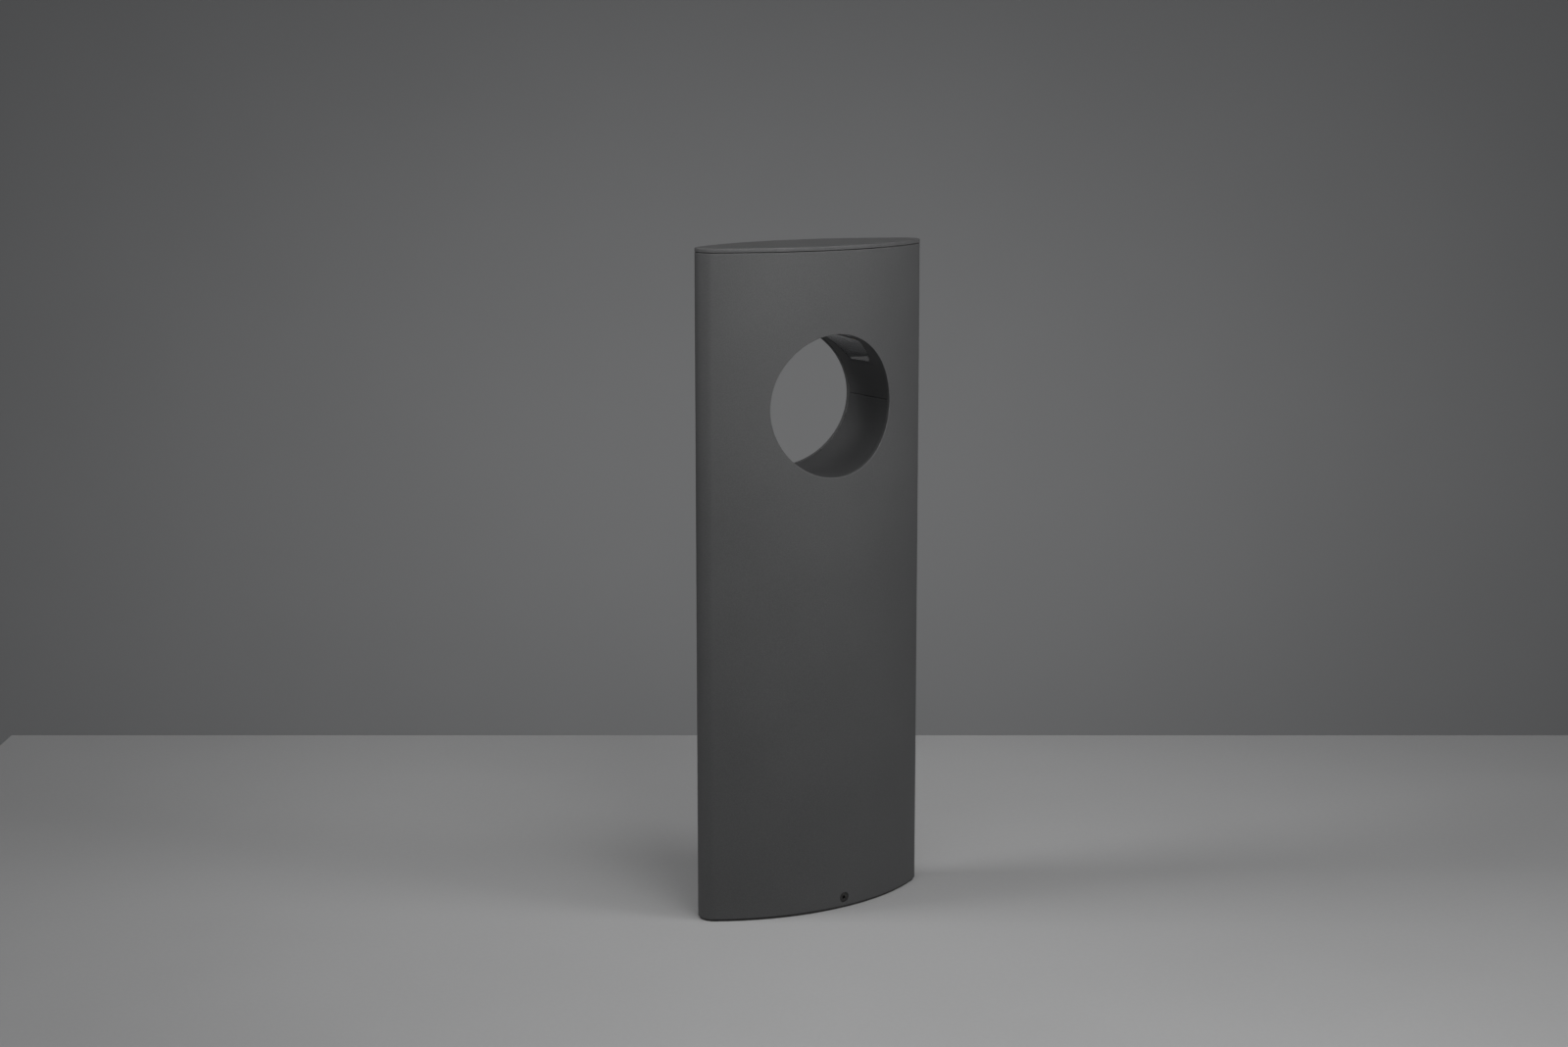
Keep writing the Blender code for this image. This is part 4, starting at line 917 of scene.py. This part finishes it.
@dataclass
class OpeningLiner(Maker):
    """One half of the liner of the round opening: a half pipe with a flat tab on each side."""

    radius: float = 0.053
    outer: float = 0.056
    reach: float = 0.072
    tab: float = 0.004
    corner: float = 0.00025
    lug_reach: float = 0.038
    lug_bottom: float = 0.312
    lug_y: tuple[float, float] = (-0.008, 0.0097)
    seam_gap: float = 0.00015
    crown: float = 0.0459

    def across(self, x: Array) -> Array:
        """How far a point of the liner at x reaches to the front and back: up to the shell's wall."""
        return PLAN.half_depth(x, WALL + GAP)

    def paths(self, seam: float, side: float, window: bool) -> tuple[Array, Array, Array]:
        """The liner's section as two lines of (x, z), inner and outer, with as many points each.

        From the right tab's tip in along the seam, round a small corner, along the bore to the left, and out
        again. In the window's width both lines share the same x.

        Args:
            seam: height of the seam face.
            side: 1 for the upper half, -1 for the lower.
            window: whether the bore's columns follow the window's.

        Returns:
            Inner line, outer line, and a mask of the points within the window.
        """
        turn = quarter(3)
        centre = self.radius + self.corner
        corner_x = centre - self.corner * np.sin(turn)
        corner_z = seam + side * self.corner * (1 - np.cos(turn))
        tab_x = np.linspace(self.reach, centre, 6)[:-1]
        if window:
            columns, _ = WINDOW.edge()
            columns = columns[::-1]
        else:
            columns = self.crown * np.cos(np.linspace(0, math.pi, 73))
        first = math.asin((corner_z[-1] - HOLE_Z) / self.radius * side)
        last = math.acos(columns[0] / self.radius)
        lead = np.linspace(first, last, 14)[1:-1]
        arc_x = np.concatenate([self.radius * np.cos(lead), columns, -self.radius * np.cos(lead[::-1])])
        arc_z = HOLE_Z + side * np.sqrt(self.radius ** 2 - arc_x ** 2)
        inner_x = np.concatenate([tab_x, corner_x, arc_x, -corner_x[::-1], -tab_x[::-1]])
        inner_z = np.concatenate([np.full(5, seam), corner_z, arc_z, corner_z[::-1], np.full(5, seam)])

        tab_z = seam + side * self.tab
        first = math.asin((tab_z - HOLE_Z) * side / self.outer)
        last = math.acos(columns[0] / self.outer)
        lead = np.linspace(first, last, 14 + 4)[:-1]
        lead_x = self.outer * np.cos(lead)
        arc_x = np.concatenate([lead_x, columns, -lead_x[::-1]])
        arc_z = HOLE_Z + side * np.sqrt(self.outer ** 2 - arc_x ** 2)
        tab_x = np.linspace(self.reach, lead_x[0], 5)[:-1]
        outer_x = np.concatenate([tab_x, arc_x, -tab_x[::-1]])
        outer_z = np.concatenate([np.full(4, tab_z), arc_z, np.full(4, tab_z)])
        start = (len(inner_x) - len(columns)) // 2
        mask = np.zeros(len(inner_x), bool)
        mask[start:start + len(columns)] = window
        return np.stack([inner_x, inner_z], -1), np.stack([outer_x, outer_z], -1), mask

    def half(self, skin: Skin, seam: float, side: float, window: bool) -> None:
        """Adds one half: bands of the inner and outer lines drawn across, the ends, and the window's wall.

        Args:
            skin: the piece's faces.
            seam: height of the seam face.
            side: 1 for the upper half, -1 for the lower.
            window: whether the half has the light window.
        """
        inner, outer, mask = self.paths(seam, side, window)
        columns, half = WINDOW.edge()
        hold = np.full(len(inner), half[0])
        if window:
            hold[mask] = half[::-1]
        share = np.array([0.0, 0.06, 0.5, 1.0])
        edges = []
        for line in (inner, outer):
            x, z = line[:, 0], line[:, 1]
            far = self.across(x)
            for way in (-1, 1):
                y = way * (far + (hold - far) * share[:, None])
                skin.sheet(join(x, y, z))
            middle = hold * np.linspace(-1, 1, 9)[:, None]
            if window:
                start, end = np.flatnonzero(mask)[[0, -1]]
                for part in (slice(0, start + 1), slice(end, len(x))):
                    skin.sheet(join(x[part], middle[:, part], z[part]))
            else:
                skin.sheet(join(x, middle, z))
            front = -far + (far - hold) * share[:, None]
            back = (far + (hold - far) * share[:, None])[::-1]
            edges.append(join(x, np.concatenate([front, middle[1:-1], back]), z))
        for index in (0, -1):
            skin.sheet(np.stack([edges[0][index], edges[1][index]]))
            skin.sheet(np.stack([edges[0][:, index], edges[1][:, index]]))
        if window:
            rings = [border_of(WINDOW.sheet(radius, 0.0, 9)) for radius in (self.radius, self.outer)]
            skin.sheet(np.stack(rings), around=True)

    def lug(self, skin: Skin) -> None:
        """Adds the lug that the tray hangs from: a block whose top lies within the pipe's wall.

        Args:
            skin: the piece's faces.
        """
        x = np.linspace(-self.lug_reach, self.lug_reach, 25)
        sunk = 0.0005
        top = HOLE_Z - np.sqrt((self.outer - sunk) ** 2 - x ** 2)
        low = np.full(len(x), self.lug_bottom)
        front, back = self.lug_y
        block = join(x, np.array([[front], [back], [back], [front]]), np.stack([low, low, top, top]))
        skin.sheet(block.transpose(1, 0, 2), around=True)
        for end in (0, -1):
            skin.sheet(block[[0, 1, 3, 2], end].reshape(2, 2, 3))

    def build(self) -> None:
        """Builds the lower half with its lug, and the upper half with the light window."""
        for name, body, side in (("lower_liner", "post", -1.0), ("upper_liner", "head", 1.0)):
            skin = Skin()
            self.half(skin, HOLE_Z + side * self.seam_gap, side, side > 0)
            if side < 0:
                self.lug(skin)
            # The liners wear a darker copy of the graphite coat: painted shade inside the opening.
            self.fit(skin.piece(name + "_skin", 30.0), body, "graphite_coat", name, finish="liner_painted_shade_coat")


@dataclass
class WindowLens(Maker):
    """The clear lens: a plug that fills the window, with a flange that lies behind the liner."""

    face: float = 0.0532
    flange: float = 0.0573
    back: float = 0.0593
    reach: float = 0.0035

    def build(self) -> None:
        """Builds the plug's face, its wall, the flange and the lens's back as one closed surface."""
        skin = Skin()
        soft = 0.0001
        sheets = [WINDOW.sheet(self.face, -GAP - soft), WINDOW.sheet(self.face + soft, -GAP),
                  WINDOW.sheet(self.flange, -GAP), WINDOW.sheet(self.flange, self.reach),
                  WINDOW.sheet(self.back, self.reach)]
        skin.sheet(sheets[0])
        skin.sheet(np.stack([border_of(sheet) for sheet in sheets]), around=True)
        skin.sheet(sheets[-1])
        self.fit(skin.piece("lens_skin", 30.0), "head", "clear_lens", "window_lens")


@dataclass
class FixingScrews(Maker):
    """The two countersunk fixing screws with hexagon sockets, one in front and one behind."""

    x: float = 0.0081
    z: float = 0.0083
    sink: float = 0.0005
    head: float = 0.00375
    shank: float = 0.0020
    flats: float = 0.00125
    length: float = 0.013
    socket: float = 0.0017
    rim: float = 0.0027
    bevel: float = 0.0003

    def build(self) -> None:
        """Builds each screw as one turned profile, whose socket's rings are hexagons."""
        edge, bevel, neck = 0.00012, self.bevel, self.head - self.shank
        section = [(0.0, -self.socket), (self.flats * 0.6, -0.0016), (self.flats, -0.0015),
                   (self.flats, -edge), (self.flats + edge, 0.0), (self.rim, 0.0), (self.head - 0.0002, 0.0),
                   (self.head, -0.0001), (self.head, -bevel), (self.shank, -bevel - neck),
                   (self.shank, 0.0002 - self.length), (self.shank - bevel, -self.length), (0.0, -self.length)]
        squash = np.array([1.0] * 5 + [0.0] * 8)
        wear = np.array([0, 0, 0, 0.3, 1.0, 0.3, 0.5, 1.0, 0.3, 0, 0, 0, 0])
        for side, name in ((1, "front"), (-1, "back")):
            y = -side * (float(PLAN.half_depth(self.x)) - self.sink)
            skin = Skin()
            middle, out = Vector((side * self.x, y, self.z)), Vector((0, -side, 0))
            skin.sheet(revolved(section, middle, out, squash=squash), wear[:, None], around=True)
            self.fit(skin.piece("screw_skin_" + name, 30.0), "post", "black_steel", "fixing_screw_" + name)


@dataclass
class LightRow(Maker):
    """The row of light sources: each a low square base with a round phosphor dome facing the opening."""

    count: int = 8
    first: float = math.radians(34.0)
    top: float = 0.066
    half: float = 0.00175
    base: float = 0.0003
    dome: float = 0.0005

    def build(self) -> None:
        """Builds each source from rings that go from a rounded square to a circle and close over the dome."""
        turn = np.linspace(0, 2 * math.pi, 40, endpoint=False)
        power = 8.0
        square = (np.abs(np.cos(turn)) ** power + np.abs(np.sin(turn)) ** power) ** (-1 / power)
        rise = quarter(7)
        size = np.concatenate([[0.0, 0.97, 1.0, 1.0, 0.97], 0.80 * np.cos(rise)]) * self.half
        shape = np.array([1.0] * 5 + [0.0] * 8)[:, None]
        height = np.concatenate([[0.0, 0.0, 0.00003, self.base - 0.00003, self.base],
                                 self.base + self.dome * np.sin(rise)])
        reach = size[:, None] * (1 + shape * (square - 1))
        step = (math.pi - 2 * self.first) / (self.count - 1)
        for number in range(self.count):
            angle = self.first + number * step
            out = np.array((math.cos(angle), 0.0, math.sin(angle)))
            side = np.array((-math.sin(angle), 0.0, math.cos(angle)))
            middle = np.array((0.0, 0.0, HOLE_Z)) + self.top * out
            places = (middle - height[:, None, None] * out
                      + (reach * np.cos(turn))[..., None] * side
                      + (reach * np.sin(turn))[..., None] * np.array((0.0, 1.0, 0.0)))
            skin = Skin()
            skin.sheet(places, around=True)
            piece = skin.piece("light_source_%d" % (number + 1))
            self.fit(piece, "head", "led_phosphor", "led_%d" % (number + 1))


@dataclass
class Leads(Maker):
    """The insulated leads inside the post: round tubes along a smooth curve through their route's points."""

    mains: float = 0.0011
    output: float = 0.0018
    sides: int = 20
    sideways: tuple[float, float, float] = (0.31, 0.95, 0.05)

    def tube(self, route: list[tuple[float, float, float]], radius: float) -> Array:
        """A round tube on a smooth curve through a route.

        The curve between two points is the cubic that leaves each along the line between its neighbours. Each
        ring lies square to the curve's direction.

        Args:
            route: the points, in order.
            radius: the tube's radius.

        Returns:
            Rings by points by three, closed to a point at each end.
        """
        points = np.array(route)
        knots = np.concatenate([[2 * points[0] - points[1]], points, [2 * points[-1] - points[-2]]])
        before, start, end, after = knots[:-3, None], knots[1:-2, None], knots[2:-1, None], knots[3:, None]
        t = np.linspace(0, 1, 10, endpoint=False)[None, :, None]
        curve = start + 0.5 * t * (end - before + t * (2 * before - 5 * start + 4 * end - after
                                                       + t * (3 * (start - end) + after - before)))
        curve = np.concatenate([curve.reshape(-1, 3), points[-1:]])
        along = np.gradient(curve, axis=0)
        along /= np.linalg.norm(along, axis=1, keepdims=True)
        side = np.cross(along, self.sideways)
        side /= np.linalg.norm(side, axis=1, keepdims=True)
        other = np.cross(along, side)
        turn = np.linspace(0, 2 * math.pi, self.sides, endpoint=False)[None, :, None]
        ring = curve[:, None] + radius * (np.cos(turn) * side[:, None] + np.sin(turn) * other[:, None])
        ends = [np.repeat(curve[index][None, None], self.sides, axis=1) for index in (0, -1)]
        return np.concatenate([ends[0], ring, ends[1]])

    def build(self) -> None:
        """Builds the three mains leads and the driver's output lead."""
        routes = {
            "live_lead": ([(-0.0140, 0.001, 0.1423), (-0.0140, 0.0, 0.152), (-0.020, -0.004, 0.166),
                           (-0.018, -0.006, 0.180), (-0.018, -0.006, 0.1897)], self.mains, "brown_lead"),
            "neutral_lead": ([(0.0, 0.001, 0.1423), (0.0, 0.0, 0.151), (0.004, -0.006, 0.164),
                              (0.010, -0.008, 0.178), (0.010, -0.008, 0.1897)], self.mains, "blue_lead"),
            "earth_lead": ([(0.0140, 0.001, 0.1423), (0.0140, 0.001, 0.150), (0.022, 0.003, 0.158),
                            (0.033, 0.0055, 0.163), (0.0408, 0.0065, 0.165)], self.mains, "green_lead"),
            "driver_output_lead": ([(-0.0283, -0.005, 0.285), (-0.036, -0.005, 0.286),
                                    (-0.046, -0.004, 0.294), (-0.054, -0.003, 0.312),
                                    (-0.061, -0.001, 0.335), (-0.064, 0.0, 0.352), (-0.064, 0.0, 0.3662)],
                                   self.output, "black_plastic"),
        }
        for name, (route, radius, slot) in routes.items():
            skin = Skin()
            skin.sheet(self.tube(route, radius), around=True)
            self.fit(skin.piece(name + "_skin", 60.0), "post", slot, name)


@dataclass
class KeptParts:
    """The parts whose own mesh is right: they keep it and get the finish of their slot."""

    shop: FinishShop

    def build(self) -> None:
        """Dresses every node that shows with the finish the record gives it."""
        slots = {part["node"]: part["material_slot"] for part in frame["record"]["subparts"]}
        for name, thing in frame["nodes"].items():
            if not thing.hide_render:
                self.shop.dress(thing, slots[name])
                log.info("%s keeps its mesh, %s", name, slots[name])


# ---------------------------------------------------------------- studio

@dataclass
class Studio:
    """A pale floor with its far edge behind the light, a grey backdrop, soft lamps and the camera."""

    camera_place: tuple[float, float, float] = (-1.0653, -1.5941, 0.6344)
    look: tuple[float, float] = (0.5474, 0.8369)
    pitch: float = 0.1654
    lens: float = 59.77
    shift: float = -0.02
    edge_distance: float = 2.3991
    floor_left: float = 0.733
    floor_right: float = 5.0
    floor_length: float = 7.0
    wall_distance: float = 5.2
    wall_half_width: float = 6.0
    wall_low: float = -3.0
    wall_high: float = 5.0
    room_colour: tuple[float, float, float] = (0.150, 0.152, 0.156)
    room_strength: float = 0.60
    floor_grey: tuple[float, float, float] = (0.52, 0.52, 0.522)
    wall_grey: tuple[float, float, float] = (0.440, 0.4425, 0.447)

    def frame_of_view(self) -> tuple[Array, Array]:
        """The camera's level direction of view, and the level direction to its right."""
        ahead = np.array((*self.look, 0.0)) / math.hypot(*self.look)
        return ahead, np.array((ahead[1], -ahead[0], 0.0))

    def camera(self) -> None:
        """Places the camera at the viewing angle."""
        data = bpy.data.cameras.new("view")
        data.lens = self.lens
        data.sensor_width = 36.0
        data.shift_y = self.shift
        data.clip_start, data.clip_end = 0.05, 60.0
        thing = bpy.data.objects.new("view", data)
        thing.location = self.camera_place
        ahead, _ = self.frame_of_view()
        aim = Vector((*(ahead[:2] * math.cos(self.pitch)), -math.sin(self.pitch)))
        thing.rotation_euler = aim.to_track_quat("-Z", "Y").to_euler()
        bpy.context.scene.collection.objects.link(thing)
        bpy.context.scene.camera = thing

    def board(self, name: str, corners: list[Array], colour: tuple[float, float, float], rough: float,
              mottle: float) -> Thing:
        """A flat part of the studio with a faintly uneven matt paint.

        Args:
            name: its name.
            corners: its four corners in turn.
            colour: its paint's linear colour.
            rough: its roughness.
            mottle: how far the tone varies.

        Returns:
            The object.
        """
        mesh = bpy.data.meshes.new(name)
        mesh.from_pydata([tuple(corner) for corner in corners], [], [(0, 1, 2, 3)])
        thing = bpy.data.objects.new(name, mesh)
        bpy.context.scene.collection.objects.link(thing)
        material = bpy.data.materials.new(name)
        material.use_nodes = True
        graph = Graph(material.node_tree)
        shader = graph.tree.nodes["Principled BSDF"]
        place = graph.node("TexCoord").outputs["Object"]
        tone = graph.remap(graph.noise(place, 3.0, 3.0), 0.3, 0.7, 1 - mottle, 1 + mottle)
        graph.feed(graph.mix(1.0, (*colour, 1.0), tone, "MULTIPLY"), shader.inputs["Base Color"])
        scuffs = graph.remap(graph.noise(place, 260.0, 4.0), 0.3, 0.7, rough - 0.06, rough + 0.06)
        graph.feed(scuffs, shader.inputs["Roughness"])
        mesh.materials.append(material)
        return thing

    def surroundings(self) -> None:
        """Makes the floor, whose far edge runs square to the view, and the backdrop well behind it."""
        ahead, right = self.frame_of_view()
        base = np.array((self.camera_place[0], self.camera_place[1], 0.0))
        edge = base + self.edge_distance * ahead
        near = edge - self.floor_length * ahead
        corners = [edge - self.floor_left * right, near - self.floor_left * right,
                   near + self.floor_right * right, edge + self.floor_right * right]
        self.board("floor", corners, self.floor_grey, 0.62, 0.02)
        back, side = base + self.wall_distance * ahead, self.wall_half_width * right
        low, high = np.array((0, 0, self.wall_low)), np.array((0, 0, self.wall_high))
        corners = [back - side + low, back + side + low, back + side + high, back - side + high]
        self.board("backdrop", corners, self.wall_grey, 0.9, 0.01)

    def lamp(self, name: str, place: tuple[float, float, float], aim: tuple[float, float, float],
             size: tuple[float, float], power: float, spread: float = 180.0) -> None:
        """A soft box: a rectangular area lamp turned to face a point.

        Args:
            name: its name.
            place: its middle, as (right, ahead, up) from the light's foot in the camera's level directions.
            aim: the point it faces, in the same directions.
            size: its width and height.
            power: its power in watts.
            spread: the angle its light keeps to, in degrees.
        """
        ahead, right = self.frame_of_view()
        spots = [spot[0] * right + spot[1] * ahead + np.array((0, 0, spot[2])) for spot in (place, aim)]
        data = bpy.data.lights.new(name, "AREA")
        data.shape = "RECTANGLE"
        data.size, data.size_y = size
        data.energy = power
        data.spread = math.radians(spread)
        thing = bpy.data.objects.new(name, data)
        thing.location = spots[0]
        thing.rotation_euler = Vector(spots[1] - spots[0]).to_track_quat("-Z", "Y").to_euler()
        thing.visible_camera = False
        bpy.context.scene.collection.objects.link(thing)

    def lamps(self) -> None:
        """Places the soft boxes and the even light of the room."""
        self.lamp("overhead", (0.4, -0.95, 2.2), (0.4, -0.85, 0.0), (2.0, 1.4), 14.8)
        self.lamp("table_front", (0.35, -0.62, 1.2), (0.35, -0.60, 0.0), (1.2, 0.3), 0.6, 55.0)
        self.lamp("left_box", (-1.15, -0.50, 1.45), (0.0, 0.0, 0.45), (0.6, 0.6), 0.9)
        self.lamp("left_high", (-1.0, -0.2, 1.35), (0.0, 0.0, 0.47), (0.4, 0.4), 0.85, 70.0)
        self.lamp("left_low", (-1.2, -0.45, 0.7), (0.0, 0.0, 0.45), (0.4, 0.6), 0.7)
        self.lamp("right_box", (1.1, -0.4, 0.9), (0.0, 0.0, 0.4), (0.5, 0.6), 1.05, 90.0)
        self.lamp("top_accent", (0.30, -0.80, 0.80), (0.0, 0.0, 0.5), (0.5, 0.4), 0.60, 60.0)
        self.lamp("backdrop_wash", (0.1, 1.7, 0.1), (0.1, 3.4, -0.5), (2.2, 0.5), 4.1, 140.0)
        world = bpy.data.worlds.new("room")
        world.use_nodes = True
        background = world.node_tree.nodes["Background"]
        background.inputs["Color"].default_value = (*self.room_colour, 1.0)
        background.inputs["Strength"].default_value = self.room_strength
        bpy.context.scene.world = world

    def build(self) -> None:
        """Sets up the whole studio."""
        self.camera()
        self.surroundings()
        self.lamps()
        settings = bpy.context.scene.view_settings
        settings.view_transform = "Standard"
        settings.look = "None"
        settings.exposure = 0.0
        settings.gamma = 1.0
        log.info("studio ready")


def main() -> None:
    """Builds the studio and then each sub-assembly in turn."""
    logging.basicConfig(level=logging.INFO, format="%(name)s: %(message)s")
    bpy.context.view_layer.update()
    Studio().build()
    shop = FinishShop(Effects())
    for kind in (PostShell, TopCap, OpeningLiner, WindowLens, FixingScrews, LightRow, Leads):
        kind(shop).build()
    KeptParts(shop).build()


if __name__ == "__main__":
    main()
